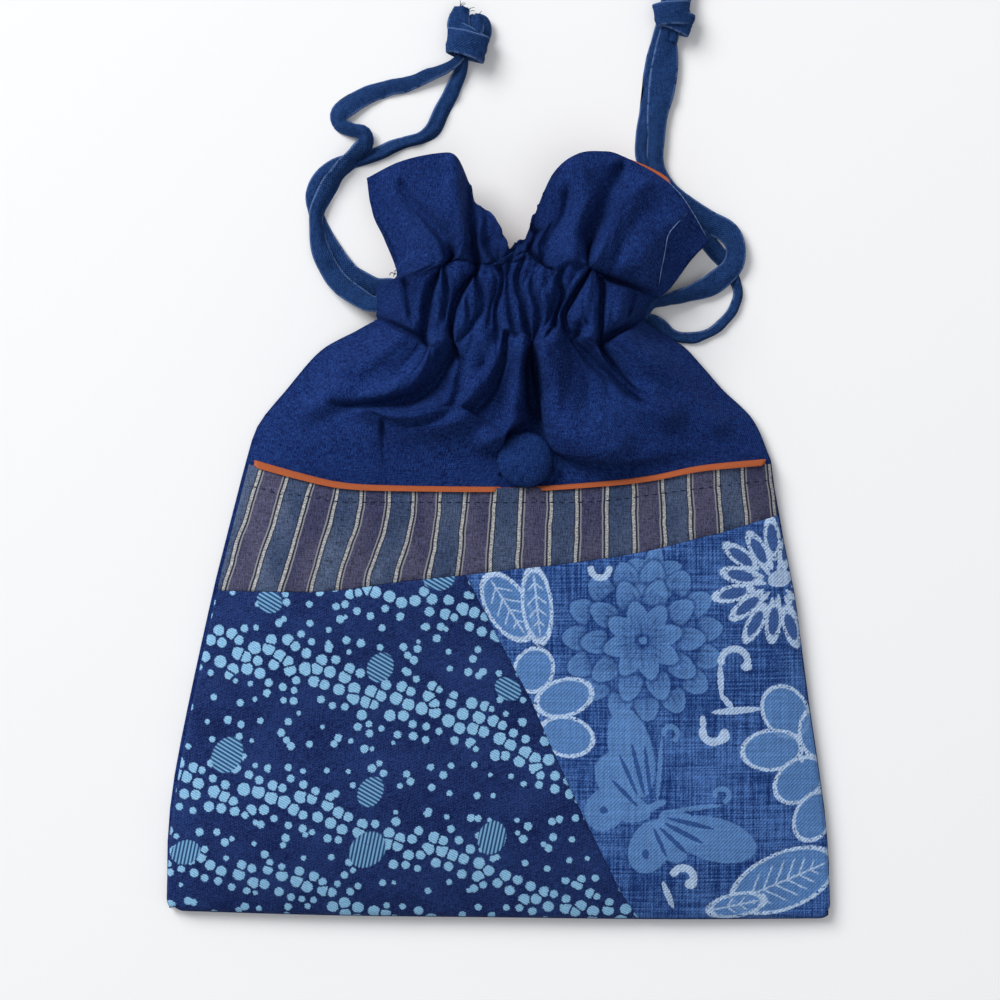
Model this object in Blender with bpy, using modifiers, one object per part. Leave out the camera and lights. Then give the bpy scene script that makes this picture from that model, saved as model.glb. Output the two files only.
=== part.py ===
"""Gathered drawstring pouch in linen, lying on its back, with a patchwork front pocket.

Metres, +Z up, +Y towards the mouth. The origin is on the table under the middle of the pouch.
Every cloth is a sheet laid over the same plan: a strip of grid that runs across from side seam to
side seam (across = 0 to 1) and along from the bottom seam to the mouth (along = 0 to 4).
"""
import math

import bmesh
import bpy
from mathutils import Vector

MM = 0.001

# Cloth thicknesses and the clearance between neighbours
PANEL_CLOTH = 0.7 * MM
LINING_CLOTH = 0.35 * MM
PATCH_CLOTH = 0.6 * MM
CLEARANCE = 0.3 * MM

# Stations of the plan, counted along the pouch
HIP = 1.0
OPEN_SIDES = 1.86
CHANNEL_LOW = 2.0
CHANNEL_HIGH = 3.0
MOUTH = 4.0

# Heights: how far the stuffed body and the gathered neck stand off the table
BODY_HEIGHT = 12.5 * MM
HIP_HEIGHT = 14.5 * MM
NECK_OPENING = 6.0 * MM
BACK_GATHER = 2.0 * MM
NECK_GATHER = 7.0 * MM
BILLOW = 9.0 * MM
LOBE = 8.0 * MM
LOBE_LIFT = 3.9 * MM

# Pocket: its turned edge and how far the linings stay inside the side seams
RIM_WIDTH = 1.8 * MM
HEM_WIDTH = 1.6 * MM
LINING_INSET = 3.2 * MM

# Flat ties: two thicknesses of folded linen
TIE_WIDTH = 8.4 * MM
TIE_THICKNESS = 1.6 * MM
TIE_STEP = 6.2 * MM
KNOT_BAND = (15.0 * MM, 9.4 * MM, 9.0 * MM)
KNOT_TAIL = (12.0 * MM, 9.0 * MM, 3.0 * MM)

# Covered button
BUTTON_DIAMETER = 18.0 * MM
BUTTON_HEIGHT = 5.2 * MM
BUTTON_PLACE = (8.6 * MM, 24.8 * MM)
BUTTON_CLOTH = 0.5 * MM
SHELL_WALL = 0.4 * MM
SHANK_DIAMETER = 5.0 * MM
SHANK_LENGTH = 1.6 * MM

# Side edges in plan, from station to station, in millimetres
LEFT_SIDE = (
    ((-109.4, -123.3), (-108.2, -97.2), (-103.5, -67.5), (-93.6, -21.3), (-87.9, 1.8), (-82.0, 24.9)),
    ((-82.0, 24.9), (-78.0, 36.5), (-68.8, 48.0), (-58.9, 59.6), (-50.7, 65.2), (-39.8, 70.5)),
    ((-39.8, 70.5), (-40.4, 76.7), (-39.8, 82.0)),
    ((-39.8, 82.0), (-33.5, 85.4), (-37.6, 97.5), (-41.4, 105.8), (-43.1, 117.0)),
)
RIGHT_SIDE = (
    ((109.4, -125.9), (107.7, -93.9), (101.1, -47.7), (97.8, -21.3), (92.2, 6.8), (89.6, 24.9)),
    ((89.6, 24.9), (83.7, 38.1), (73.8, 48.0), (66.5, 56.3), (59.9, 62.9), (49.3, 67.8)),
    ((49.3, 67.8), (48.7, 73.8), (50.0, 78.7)),
    ((50.0, 78.7), (55.6, 80.4), (63.2, 90.3), (68.8, 96.2)),
)

# Rows across at the stations: bottom seam, pocket edge, lower stitch, upper stitch, mouth
STATION_ROWS = (
    ((-109.4, -123.3), (-55.6, -124.9), (0.5, -125.6), (56.6, -126.2), (109.4, -125.9)),
    ((-82.0, 24.9), (-65.5, 20.3), (-50.7, 17.0), (-32.5, 16.0), (7.1, 15.7), (33.5, 17.3),
     (50.0, 19.3), (66.5, 22.6), (89.6, 24.9)),
    ((-39.8, 70.5), (-25.6, 63.9), (-9.4, 61.2), (10.4, 60.6), (33.2, 63.9), (49.3, 67.8)),
    ((-39.8, 82.0), (-19.6, 86.3), (0.5, 87.6), (20.3, 87.3), (36.8, 85.0), (50.0, 78.7)),
    ((-43.1, 117.0), (-32.5, 122.3), (-19.3, 125.2), (-13.4, 124.0), (-9.4, 115.7), (-7.5, 108.5),
     (-3.6, 105.0), (0.5, 99.8), (4.5, 95.0), (9.6, 97.8), (12.0, 104.8), (18.6, 119.3),
     (26.2, 125.2), (33.8, 126.0), (40.1, 124.9), (54.3, 116.7), (63.2, 106.1), (68.8, 96.2)),
)

# Folds of the front: how deep, then points of the valley's line as x, y and half width, in mm
FOLDS = (
    (0.7, ((-21.0, 88.0, 2.2), (-23.0, 77.0, 2.2), (-24.8, 66.0, 2.6), (-27.5, 60.0, 2.0))),
    (0.6, ((-39.0, 70.8, 2.5), (-30.0, 67.0, 3.0), (-24.5, 64.0, 2.5))),
    (1.0, ((-7.4, 86.0, 1.8), (-13.0, 76.5, 2.6), (-15.0, 69.5, 2.8), (-13.2, 60.5, 2.6),
           (-16.0, 55.0, 4.0), (-22.0, 49.0, 4.5), (-32.0, 44.5, 4.0), (-42.0, 42.0, 3.0))),
    (0.6, ((-6.0, 82.0, 1.4), (-4.2, 73.0, 1.6), (-8.7, 66.5, 1.6))),
    (0.8, ((1.2, 83.0, 1.4), (-0.2, 74.0, 1.8), (-1.0, 68.0, 1.8))),
    (0.7, ((2.8, 82.0, 1.2), (3.5, 72.0, 1.4))),
    (0.8, ((5.8, 81.5, 1.4), (8.7, 70.0, 1.8), (11.7, 62.0, 2.4))),
    (0.6, ((10.8, 79.0, 1.4), (11.7, 70.0, 1.6), (13.0, 64.0, 1.6))),
    (0.9, ((18.8, 82.0, 1.8), (15.0, 76.0, 2.0), (14.0, 66.5, 2.4))),
    (0.7, ((19.5, 78.5, 1.6), (17.0, 72.5, 1.6))),
    (0.8, ((28.0, 86.0, 1.8), (23.4, 76.0, 2.2), (22.0, 67.5, 2.4), (25.0, 60.0, 2.6),
           (31.0, 53.0, 3.4), (41.0, 46.5, 3.0))),
    (0.8, ((32.0, 84.0, 2.0), (33.8, 74.5, 2.2), (32.2, 68.0, 2.4), (33.2, 64.0, 2.6),
           (40.0, 55.0, 3.0), (46.0, 47.5, 2.4))),
    (0.9, ((48.5, 72.0, 2.4), (37.6, 66.8, 3.0), (33.2, 64.0, 2.6))),
    (1.0, ((11.5, 62.0, 3.0), (11.6, 52.0, 4.4), (12.0, 42.0, 6.5), (10.5, 33.0, 13.0),
           (10.0, 24.0, 20.0))),
    (0.5, ((2.5, 64.0, 2.0), (0.0, 54.5, 3.0), (-6.5, 43.5, 4.0), (-10.0, 37.0, 5.0))),
    (0.5, ((-44.0, 50.0, 4.0), (-56.0, 45.0, 4.0), (-68.0, 38.0, 3.0))),
    (0.7, ((-31.0, 112.5, 2.5), (-23.0, 102.5, 4.0), (-17.0, 92.0, 3.4), (-18.0, 86.5, 2.4))),
    (0.8, ((7.0, 104.0, 1.4), (9.0, 90.0, 2.6), (12.0, 86.0, 2.0))),
    (0.5, ((18.0, 108.0, 2.5), (14.0, 92.5, 2.6), (15.0, 86.0, 2.0))),
    (0.9, ((35.0, 112.0, 3.0), (32.3, 107.8, 4.5), (29.2, 96.5, 4.0), (27.0, 86.5, 3.0))),
    (0.9, ((50.0, 88.0, 3.0), (37.6, 87.4, 5.0), (32.5, 84.5, 3.0))),
)

# Seams of the patchwork: along-station of the band's seam over across, and the slanting seam
BAND_SEAM = ((0.0, 0.707), (0.15, 0.742), (0.32, 0.782), (0.52, 0.813), (0.68, 0.829),
             (0.88, 0.85), (1.0, 0.88))
SLANT_SEAM = ((0.0, 0.712), (0.08, 0.683), (0.29, 0.628), (0.63, 0.544), (1.0, 0.428))

# Routes of the two ties in millimetres: x, y, z and share of the full width. In the channels the
# height follows the lining that the tie lies on.
FRONT = "front"
BACK = "back"
LEFT_ROUTE = (
    (-13.2, 155.8, 5.2, 0.45), (-15.0, 153.9, 4.6, 0.55), (-20.4, 152.4, 3.0, 0.75),
    (-27.2, 150.6, 1.6, 0.85),
    (-35.8, 148.3, 1.1, 0.95), (-43.7, 146.0, 1.1, 0.9), (-50.5, 142.4, 1.3, 0.75),
    (-54.2, 137.4, 1.6, 0.6), (-50.4, 133.0, 2.0, 0.5), (-45.0, 131.0, 2.6, 0.5),
    (-43.4, 126.6, 3.0, 0.65), (-48.2, 121.8, 3.0, 0.85), (-54.0, 116.6, 2.9, 0.9),
    (-58.2, 110.4, 2.8, 0.9), (-60.8, 103.8, 2.8, 0.9), (-61.3, 95.5, 2.8, 0.95),
    (-58.6, 86.8, 3.0, 1.0), (-52.0, 80.6, 4.4, 0.9), (-43.0, 79.3, 7.0, 0.65),
    (-37.0, 79.4, FRONT, 0.62), (-31.0, 79.5, FRONT, 0.62), (-24.0, 79.5, FRONT, 0.62),
    (-10.0, 79.5, FRONT, 0.62), (5.0, 79.5, FRONT, 0.62), (20.0, 79.5, FRONT, 0.62),
    (33.0, 79.3, FRONT, 0.62), (40.0, 78.6, FRONT, 0.55), (46.0, 78.0, FRONT, 0.45),
    (50.5, 77.9, 7.4, 0.45), (52.0, 77.9, 5.4, 0.45), (50.0, 78.0, 3.9, 0.45),
    (43.0, 78.6, BACK, 0.55), (34.0, 79.4, BACK, 0.62), (20.0, 79.5, BACK, 0.62),
    (0.0, 79.5, BACK, 0.62), (-20.0, 79.5, BACK, 0.62), (-36.0, 80.8, BACK, 0.65),
    (-44.0, 84.2, 2.2, 0.8),
    (-51.0, 90.6, 1.0, 0.9), (-56.6, 98.0, 0.95, 0.9), (-59.4, 105.0, 0.95, 0.8),
    (-60.2, 111.6, 0.95, 0.8), (-58.2, 118.4, 0.95, 0.85), (-53.6, 123.2, 0.95, 0.85),
    (-48.0, 126.2, 0.95, 0.85), (-41.1, 127.8, 0.95, 0.8), (-34.5, 129.2, 0.95, 0.8),
    (-27.9, 130.6, 0.95, 0.75), (-22.0, 134.6, 0.95, 0.75), (-17.2, 142.4, 1.2, 0.75),
    (-12.8, 149.6, 2.2, 0.65), (-10.6, 157.2, 3.0, 0.45),
)
RIGHT_ROUTE = (
    (55.9, 164.4, 4.6, 0.55), (56.0, 154.0, 3.0, 0.85), (54.6, 142.5, 2.7, 1.0),
    (53.0, 131.0, 2.7, 0.9), (52.8, 122.0, 2.7, 0.85), (55.6, 116.4, 2.7, 0.85),
    (60.4, 112.6, 2.7, 0.9), (67.2, 108.8, 2.7, 0.95), (74.2, 103.4, 2.8, 1.0),
    (77.6, 95.5, 3.2, 0.85), (75.6, 87.4, 3.2, 0.75), (70.1, 81.4, 3.6, 0.8),
    (61.5, 76.8, 5.0, 0.75), (53.0, 72.9, 7.0, 0.55), (46.0, 71.4, FRONT, 0.55),
    (40.0, 71.4, FRONT, 0.6), (33.0, 71.8, FRONT, 0.62), (20.0, 72.0, FRONT, 0.62),
    (5.0, 72.0, FRONT, 0.62), (-10.0, 72.0, FRONT, 0.62), (-24.0, 72.2, FRONT, 0.62),
    (-31.0, 73.0, FRONT, 0.55), (-37.0, 73.6, FRONT, 0.45), (-40.8, 73.8, 7.2, 0.45),
    (-42.3, 73.8, 5.4, 0.45), (-40.4, 73.6, 3.9, 0.45), (-34.0, 73.0, BACK, 0.55),
    (-24.0, 72.2, BACK, 0.62), (-8.0, 72.0, BACK, 0.62), (8.0, 72.0, BACK, 0.62),
    (24.0, 72.0, BACK, 0.62), (38.0, 71.6, BACK, 0.62), (46.0, 70.9, 3.6, 0.62),
    (52.0, 70.2, 2.7, 0.65), (58.5, 68.6, 1.5, 0.7), (65.5, 67.2, 0.95, 0.7),
    (73.1, 68.8, 0.95, 0.68), (78.2, 73.6, 0.95, 0.65), (79.4, 79.4, 0.95, 0.65),
    (76.8, 85.6, 0.95, 0.7), (72.2, 91.6, 0.95, 0.85), (66.0, 99.4, 0.95, 0.85),
    (58.6, 108.4, 0.95, 0.85), (51.8, 117.0, 0.95, 0.8), (48.0, 125.4, 0.95, 0.75),
    (48.4, 134.0, 0.95, 0.75), (50.6, 143.7, 0.95, 0.8), (52.4, 154.0, 0.95, 0.75),
    (53.4, 164.4, 1.8, 0.5),
)


def smooth_point(points, share):
    """Point at a share of the way along a Catmull-Rom curve through the points."""
    points = [Vector(point) for point in points]
    last = len(points) - 1
    place = min(max(share, 0.0), 1.0) * last
    index = min(int(place), last - 1)
    w = place - index
    before = points[index - 1] if index else points[0] * 2 - points[1]
    after = points[index + 2] if index + 2 <= last else points[last] * 2 - points[last - 1]
    a, b = points[index], points[index + 1]
    return 0.5 * (2 * a + (b - before) * w + (2 * before - 5 * a + 4 * b - after) * w * w
                  + (3 * a - before - 3 * b + after) * w ** 3)


def even_points(points, count):
    """Points spaced evenly by length along the smooth curve through the given points."""
    fine = [smooth_point(points, step / 600) for step in range(601)]
    length = [0.0]
    for a, b in zip(fine, fine[1:]):
        length.append(length[-1] + (b.xyz - a.xyz).length)
    result, index = [], 0
    for step in range(count):
        target = length[-1] * step / (count - 1)
        while index < 599 and length[index + 1] < target:
            index += 1
        span = length[index + 1] - length[index]
        result.append(fine[index].lerp(fine[index + 1], (target - length[index]) / span if span else 0))
    return result


def ease(value):
    """Smooth step from 0 to 1."""
    value = min(max(value, 0.0), 1.0)
    return value * value * (3 - 2 * value)


def table(value, *pairs):
    """Smoothly joined values at the given places."""
    if value <= pairs[0][0]:
        return pairs[0][1]
    for (a, low), (b, high) in zip(pairs, pairs[1:]):
        if value <= b:
            return low + (high - low) * ease((value - a) / (b - a))
    return pairs[-1][1]


def straight(value, pairs):
    """Straight interpolation between the given places."""
    for (a, low), (b, high) in zip(pairs, pairs[1:]):
        if value <= b:
            return low + (high - low) * (value - a) / (b - a)
    return pairs[-1][1]


ROWS = [even_points([(x * MM, y * MM, 0) for x, y in row], 201) for row in STATION_ROWS]
LEFT = [even_points([(x * MM, y * MM, 0) for x, y in side], 201) for side in LEFT_SIDE]
RIGHT = [even_points([(x * MM, y * MM, 0) for x, y in side], 201) for side in RIGHT_SIDE]


def along_line(line, share):
    place = min(max(share, 0.0), 1.0) * (len(line) - 1)
    index = min(int(place), len(line) - 2)
    return line[index].lerp(line[index + 1], place - index)


def plan(across, along):
    """Place in plan of a point of the cloth."""
    station = min(int(along), 3)
    w = along - station
    low, high = ROWS[station], ROWS[station + 1]
    point = along_line(low, across).lerp(along_line(high, across), w)
    left = along_line(LEFT[station], w) - low[0].lerp(high[0], w)
    right = along_line(RIGHT[station], w) - low[-1].lerp(high[-1], w)
    point = point + left * (1 - across) ** 3 + right * across ** 3
    return point.x, point.y


def crown(across):
    """Rise of the stuffed shape from 0 at the side seams to 1 in the middle."""
    return 1 - abs(2 * across - 1) ** 4


def fold_depth(x, y):
    """Share of the gathers' height that the folds leave standing at a place in plan."""
    left = 1.0
    for depth, line in FOLDS:
        best = 0.0
        for (x0, y0, w0), (x1, y1, w1) in zip(line, line[1:]):
            dx, dy = (x1 - x0) * MM, (y1 - y0) * MM
            share = ((x - x0 * MM) * dx + (y - y0 * MM) * dy) / (dx * dx + dy * dy)
            share = min(max(share, 0.0), 1.0)
            away = math.hypot(x - x0 * MM - share * dx, y - y0 * MM - share * dy)
            best = max(best, ease(1.25 - away / ((w0 + (w1 - w0) * share) * MM)))
        left *= 1 - depth * best
    return left


SEAM_HEIGHT = PANEL_CLOTH * 2 + LINING_CLOTH * 2 + CLEARANCE * 3
BACK_TIE = BACK_GATHER + PANEL_CLOTH + CLEARANCE + TIE_THICKNESS / 2
BACK_LINING_NECK = BACK_TIE + TIE_THICKNESS / 2 + CLEARANCE
FRONT_LINING_EDGE = BACK_LINING_NECK + LINING_CLOTH + CLEARANCE
CHANNEL_ROOM = TIE_THICKNESS + 2 * CLEARANCE
CHANNEL_EDGE = FRONT_LINING_EDGE + LINING_CLOTH + CLEARANCE + CHANNEL_ROOM + PANEL_CLOTH
CHANNEL_MID = CHANNEL_EDGE + NECK_OPENING - CLEARANCE
FLARE_EDGE = SEAM_HEIGHT + LOBE_LIFT


def front_floor(across, along):
    """Height of the front panel's face where it is not gathered up."""
    edge = table(along, (0.0, SEAM_HEIGHT), (OPEN_SIDES, SEAM_HEIGHT), (CHANNEL_LOW, CHANNEL_EDGE),
                 (CHANNEL_HIGH, CHANNEL_EDGE), (MOUTH, FLARE_EDGE))
    middle = table(along, (CHANNEL_LOW, CHANNEL_MID), (CHANNEL_HIGH, CHANNEL_MID),
                   (MOUTH, CHANNEL_MID - 1 * MM))
    if along < CHANNEL_LOW:
        bottom_roll = 1 - (1 - min(along / 0.35, 1.0)) ** 3
        body = SEAM_HEIGHT + (BODY_HEIGHT - SEAM_HEIGHT) * bottom_roll
        middle = body + (HIP_HEIGHT - BODY_HEIGHT) * ease((along - 0.4) / 0.6)
        middle += (CHANNEL_MID - HIP_HEIGHT) * ease((along - HIP) / (CHANNEL_LOW - HIP))
    return edge + (middle - edge) * crown(across)


def gather_height(across, along):
    """Height of the gathers, billows and lobes above the front's floor."""
    billow = BILLOW * table(across, (0.04, 0.0), (0.3, 1.0), (0.46, 0.8), (0.56, 0.7),
                            (0.72, 1.0), (0.96, 0.0))
    neck = NECK_GATHER * table(across, (0.0, 0.15), (0.12, 0.9), (0.88, 0.9), (1.0, 0.1))
    lobe = LOBE * table(across, (0.0, 0.25), (0.12, 0.9), (0.24, 1.0), (0.30, 0.12), (0.44, 0.05),
                        (0.52, 0.7), (0.66, 1.0), (0.86, 0.6), (1.0, 0.1))
    lower = table(along, (1.04, 0.0), (1.25, 0.85), (1.5, 1.0), (CHANNEL_LOW, 0.0))
    middle = table(along, (1.5, 0.0), (CHANNEL_LOW, 0.85), (2.5, 1.0), (CHANNEL_HIGH, 0.8), (3.5, 0.0))
    upper = table(along, (CHANNEL_HIGH, 0.0), (3.5, 1.0), (MOUTH, 0.75))
    return billow * lower + neck * middle + lobe * upper


def front_top(across, along):
    x, y = plan(across, along)
    height = gather_height(across, along)
    if height:
        height *= fold_depth(x, y)
    return front_floor(across, along) + height


def away_from_sides(across):
    """0 at the side seams and 1 away from them."""
    return ease(min(across, 1 - across) / 0.1)


def back_under(across, along):
    """Underside of the back panel: flat on the table, puckered at the neck, lifted by the tie."""
    phase = across * 13 + 0.25 * math.sin(across * 17)
    pucker = BACK_GATHER * (0.5 - 0.5 * math.cos(2 * math.pi * phase)) * away_from_sides(across)
    pucker *= table(along, (1.45, 0.0), (CHANNEL_LOW, 1.0), (CHANNEL_HIGH, 1.0), (3.6, 0.15))
    lift = LOBE_LIFT * ease((across - 0.5) / 0.2) * ease((along - 3.05) / 0.35)
    return pucker * (1 - lift / LOBE_LIFT) + lift


def back_floor(across, along):
    """Level that clears every pucker of the back panel."""
    pucker = BACK_GATHER * table(along, (1.35, 0.0), (1.9, 1.0), (3.1, 1.0), (3.9, 0.3))
    pucker *= ease(min(across, 1 - across) / 0.06)
    lift = LOBE_LIFT * ease((across - 0.47) / 0.2) * ease((along - 3.0) / 0.33)
    return max(pucker, lift) + PANEL_CLOTH


def back_lining_under(across, along):
    room = table(along, (OPEN_SIDES, 0.0), (CHANNEL_LOW, 1.0), (CHANNEL_HIGH, 1.0), (3.3, 0.0))
    level = back_floor(across, along) + CLEARANCE
    return level + (BACK_LINING_NECK - level) * room


def front_lining_top(across, along):
    room = table(along, (OPEN_SIDES, 0.0), (CHANNEL_LOW, 1.0), (CHANNEL_HIGH, 1.0), (3.25, 0.0))
    return front_floor(across, along) - PANEL_CLOTH - CLEARANCE - CHANNEL_ROOM * room


def spread(count, low=0.0, high=1.0, crowding=0.35):
    """Shares from low to high that crowd towards both ends."""
    values = []
    for step in range(count + 1):
        even = step / count
        values.append(low + (high - low) * (even + crowding * (0.5 - 0.5 * math.cos(math.pi * even) - even)))
    return values


def material(name, colour, roughness, metallic=0.0):
    result = bpy.data.materials.new(name)
    result.use_nodes = True
    result.diffuse_color = (*colour, 1)
    shader = result.node_tree.nodes["Principled BSDF"]
    shader.inputs["Base Color"].default_value = (*colour, 1)
    shader.inputs["Roughness"].default_value = roughness
    shader.inputs["Metallic"].default_value = metallic
    return result


def add(name, data, look):
    piece = bpy.data.objects.new(name, data)
    data.materials.append(look)
    POUCH.objects.link(piece)
    return piece


def cloth(name, columns, rows, place, under, over, look):
    """Closed sheet on a grid: place gives the plan and both faces' across and along stations."""
    mesh = bmesh.new()
    bmesh.ops.create_grid(mesh, x_segments=len(columns) - 1, y_segments=len(rows) - 1, size=0.5)
    bmesh.ops.triangulate(mesh, faces=mesh.faces[:], quad_method="FIXED")
    grown = bmesh.ops.extrude_face_region(mesh, geom=mesh.faces[:])
    upper = {item for item in grown["geom"] if isinstance(item, bmesh.types.BMVert)}
    for vert in mesh.verts:
        column = columns[round((vert.co.x + 0.5) * (len(columns) - 1))]
        row = rows[round((vert.co.y + 0.5) * (len(rows) - 1))]
        across, along = place(column, row)
        x, y = plan(across, along)
        vert.co = (x, y, (over if vert in upper else under)(across, along))
    bmesh.ops.recalc_face_normals(mesh, faces=mesh.faces[:])
    data = bpy.data.meshes.new(name)
    mesh.to_mesh(data)
    mesh.free()
    data.shade_smooth()
    data.set_sharp_from_angle(angle=math.radians(40))
    return add(name, data, look)


def as_is(column, row):
    return column, row


def inset(across, along):
    """The linings stay inside the side seams by a fixed distance."""
    x0, y0 = plan(0, along)
    x1, y1 = plan(1, along)
    share = LINING_INSET / math.hypot(x1 - x0, y1 - y0)
    return share + (1 - 2 * share) * across, along


def front_under(across, along):
    """Underside of the front panel, with its seam allowances turned in along the side seams."""
    at_side = min(across, 1 - across) <= HEM_SHARE * 1.01
    if (at_side and along <= OPEN_SIDES) or along <= BOTTOM_HEM:
        return PANEL_CLOTH + CLEARANCE
    return front_top(across, along) - PANEL_CLOTH


def build_panels():
    navy = material("navy_linen", (0.012, 0.028, 0.11), 0.9)
    orange = material("orange_cotton", (0.55, 0.13, 0.06), 0.85)
    hem = [0.0, HEM_SHARE, HEM_SHARE * 1.4]
    sides = hem + spread(42, 0.035, 0.965, 0.1) + [1 - value for value in reversed(hem)]
    body = [0.0, BOTTOM_HEM, BOTTOM_HEM * 1.5, 0.05, 0.12, 0.22, 0.38, 0.66]
    shoulder = [0.97, 1.0, 1.04, 1.12, 1.22, 1.34, 1.46, 1.58, 1.7, 1.79, OPEN_SIDES, 1.93]
    neck = [2.0, 2.25, 2.5, 2.75, 3.0, 3.12, 3.25, 3.4, 3.55, 3.7, 3.85, 4.0]
    cloth("front_panel", sides, body + shoulder + neck, as_is, front_under, front_top, navy)
    back_sides = spread(30, crowding=0.0)
    back_rows = [0.0, 0.3, 0.7, 1.0, 1.4, 1.65, OPEN_SIDES, 2.0, 2.5, 3.0, 3.15, 3.3, 3.45, 3.7, 4.0]
    cloth("back_panel", back_sides, back_rows, as_is, back_under,
          lambda across, along: back_under(across, along) + PANEL_CLOTH, navy)
    lining_sides = spread(16, crowding=0.8)
    lining_rows = [0.055, 0.1, 0.17, 0.27, 0.42, 0.7, 1.0, 1.4, 1.7, OPEN_SIDES, 1.93, 2.0, 2.5, 3.0,
                   3.12, 3.25, 3.5, 3.75, 3.985]
    cloth("lining_front", lining_sides, lining_rows, inset,
          lambda across, along: front_lining_top(across, along) - LINING_CLOTH, front_lining_top, orange)
    cloth("lining_back", lining_sides, lining_rows, inset, back_lining_under,
          lambda across, along: back_lining_under(across, along) + LINING_CLOTH, orange)
    return orange


def build_pocket(orange):
    seat = CLEARANCE * 1.4
    top_share = 1 - RIM_SHARE

    def pocket_under(across, along):
        return front_floor(across, along) + seat

    def patch_under(across, along):
        return pocket_under(across, along) + LINING_CLOTH + seat

    def patch_over(across, along):
        return patch_under(across, along) + PATCH_CLOTH

    def pocket_over(across, along):
        if along > top_share:
            return patch_over(across, along) + CLEARANCE / 2
        return pocket_under(across, along) + LINING_CLOTH

    def band(column, row):
        low = straight(column, BAND_SEAM) + SEAM_SHARE
        return column, low + (top_share - 2 * SEAM_SHARE - low) * row

    def dots(column, row):
        high = straight(row, SLANT_SEAM) - SEAM_SHARE
        across = column * high
        return across, row * (straight(across, BAND_SEAM) - SEAM_SHARE)

    def flowers(column, row):
        low = straight(row, SLANT_SEAM) + SEAM_SHARE
        across = low + (1 - low) * column
        return across, row * (straight(across, BAND_SEAM) - SEAM_SHARE)

    edges = [0.0, 0.02, 0.045, 0.09]
    columns = edges + spread(10, 0.15, 0.85, 0.0) + [1 - value for value in reversed(edges)]
    rows = [0.0, 0.03, 0.06, 0.14, 0.26, 0.42, 0.6, 0.8, top_share, top_share + 1e-4, 0.9995]
    cloth("pocket_lining", columns, rows, as_is, pocket_under, pocket_over, orange)
    stripe = material("striped_cotton", (0.09, 0.12, 0.2), 0.9)
    indigo = material("dotted_indigo_cotton", (0.015, 0.03, 0.11), 0.9)
    flower = material("flowered_blue_cotton", (0.035, 0.09, 0.25), 0.9)
    cloth("pocket_stripe_band", columns, [0.0, 0.5, 1.0], band, patch_under, patch_over, stripe)
    patch_rows = [0.0, 0.04, 0.08, 0.18, 0.35, 0.55, 0.78, 1.0]
    dot_columns = [0.0, 0.03, 0.075, 0.15] + spread(5, 0.25, 1.0, 0.0)
    cloth("pocket_dot_patch", dot_columns, patch_rows, dots, patch_under, patch_over, indigo)
    flower_columns = [1 - value for value in reversed(dot_columns)]
    cloth("pocket_floral_patch", flower_columns, patch_rows, flowers, patch_under, patch_over, flower)


def turned(name, profile, place, look, steps=28):
    """Closed turned solid from a profile of radius and height, top to bottom on its outer side."""
    data = bpy.data.meshes.new(name)
    mesh = bmesh.new()
    verts = [mesh.verts.new((radius, 0, height)) for radius, height in profile]
    for a, b in zip(verts, verts[1:]):
        mesh.edges.new((a, b))
    mesh.to_mesh(data)
    mesh.free()
    piece = add(name, data, look)
    screw = piece.modifiers.new("turn", "SCREW")
    screw.steps = steps
    screw.render_steps = steps
    screw.use_merge_vertices = True
    screw.merge_threshold = 0.00001
    piece.location = place
    return piece


def dome(radius, height, count=6):
    """Points of a domed cap from its crown to its rim."""
    points = []
    for step in range(count + 1):
        angle = math.radians(90) * step / count
        points.append((radius * math.sin(angle), height * math.cos(angle)))
    return points


def build_button():
    navy = bpy.data.materials["navy_linen"]
    steel = material("button_steel", (0.55, 0.55, 0.56), 0.35, 1.0)
    x, y = BUTTON_PLACE
    rim_top = front_floor(0.53, HIP) + CLEARANCE * 2.8 + LINING_CLOTH + PATCH_CLOTH + CLEARANCE
    base = rim_top + CLEARANCE
    radius = BUTTON_DIAMETER / 2
    skirt = 1.4 * MM
    shell_radius = radius - BUTTON_CLOTH - CLEARANCE
    cover = [(r, skirt + z) for r, z in dome(radius, BUTTON_HEIGHT - skirt)]
    cover += [(radius, 0), (radius - 2.4 * MM, 0), (radius - 2.4 * MM, BUTTON_CLOTH)]
    cover += [(radius - BUTTON_CLOTH, BUTTON_CLOTH)]
    inner = dome(radius - BUTTON_CLOTH, BUTTON_HEIGHT - skirt - BUTTON_CLOTH)
    cover += [(r, skirt + z) for r, z in reversed(inner)]
    turned("button_cover", cover, (x, y, base), navy)
    lift = BUTTON_CLOTH + CLEARANCE
    shell_height = BUTTON_HEIGHT - skirt - BUTTON_CLOTH - CLEARANCE
    shell = [(r, skirt + z) for r, z in dome(shell_radius, shell_height)]
    shell += [(shell_radius, lift), (shell_radius - SHELL_WALL, lift)]
    hollow = dome(shell_radius - SHELL_WALL, shell_height - SHELL_WALL)
    shell += [(r, skirt + z) for r, z in reversed(hollow)]
    turned("button_shell", shell, (x, y, base), steel)
    plate_radius = shell_radius - SHELL_WALL - CLEARANCE
    shank = SHANK_DIAMETER / 2
    plate = [(0, lift + SHELL_WALL), (plate_radius, lift + SHELL_WALL), (plate_radius, lift)]
    plate += [(shank, lift), (shank, lift - SHANK_LENGTH), (0, lift - SHANK_LENGTH)]
    turned("button_back", plate, (x, y, base), steel)


def route_height(x, y, z):
    """Height of a tie: as given, or on the lining of the channel that it runs through."""
    if z == BACK:
        return BACK_TIE
    if z != FRONT:
        return z * MM
    left, right = LEFT[2][100].x, RIGHT[2][100].x
    return front_lining_top((x * MM - left) / (right - left), 2.5) + CLEARANCE * 1.5 + TIE_THICKNESS / 2


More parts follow.
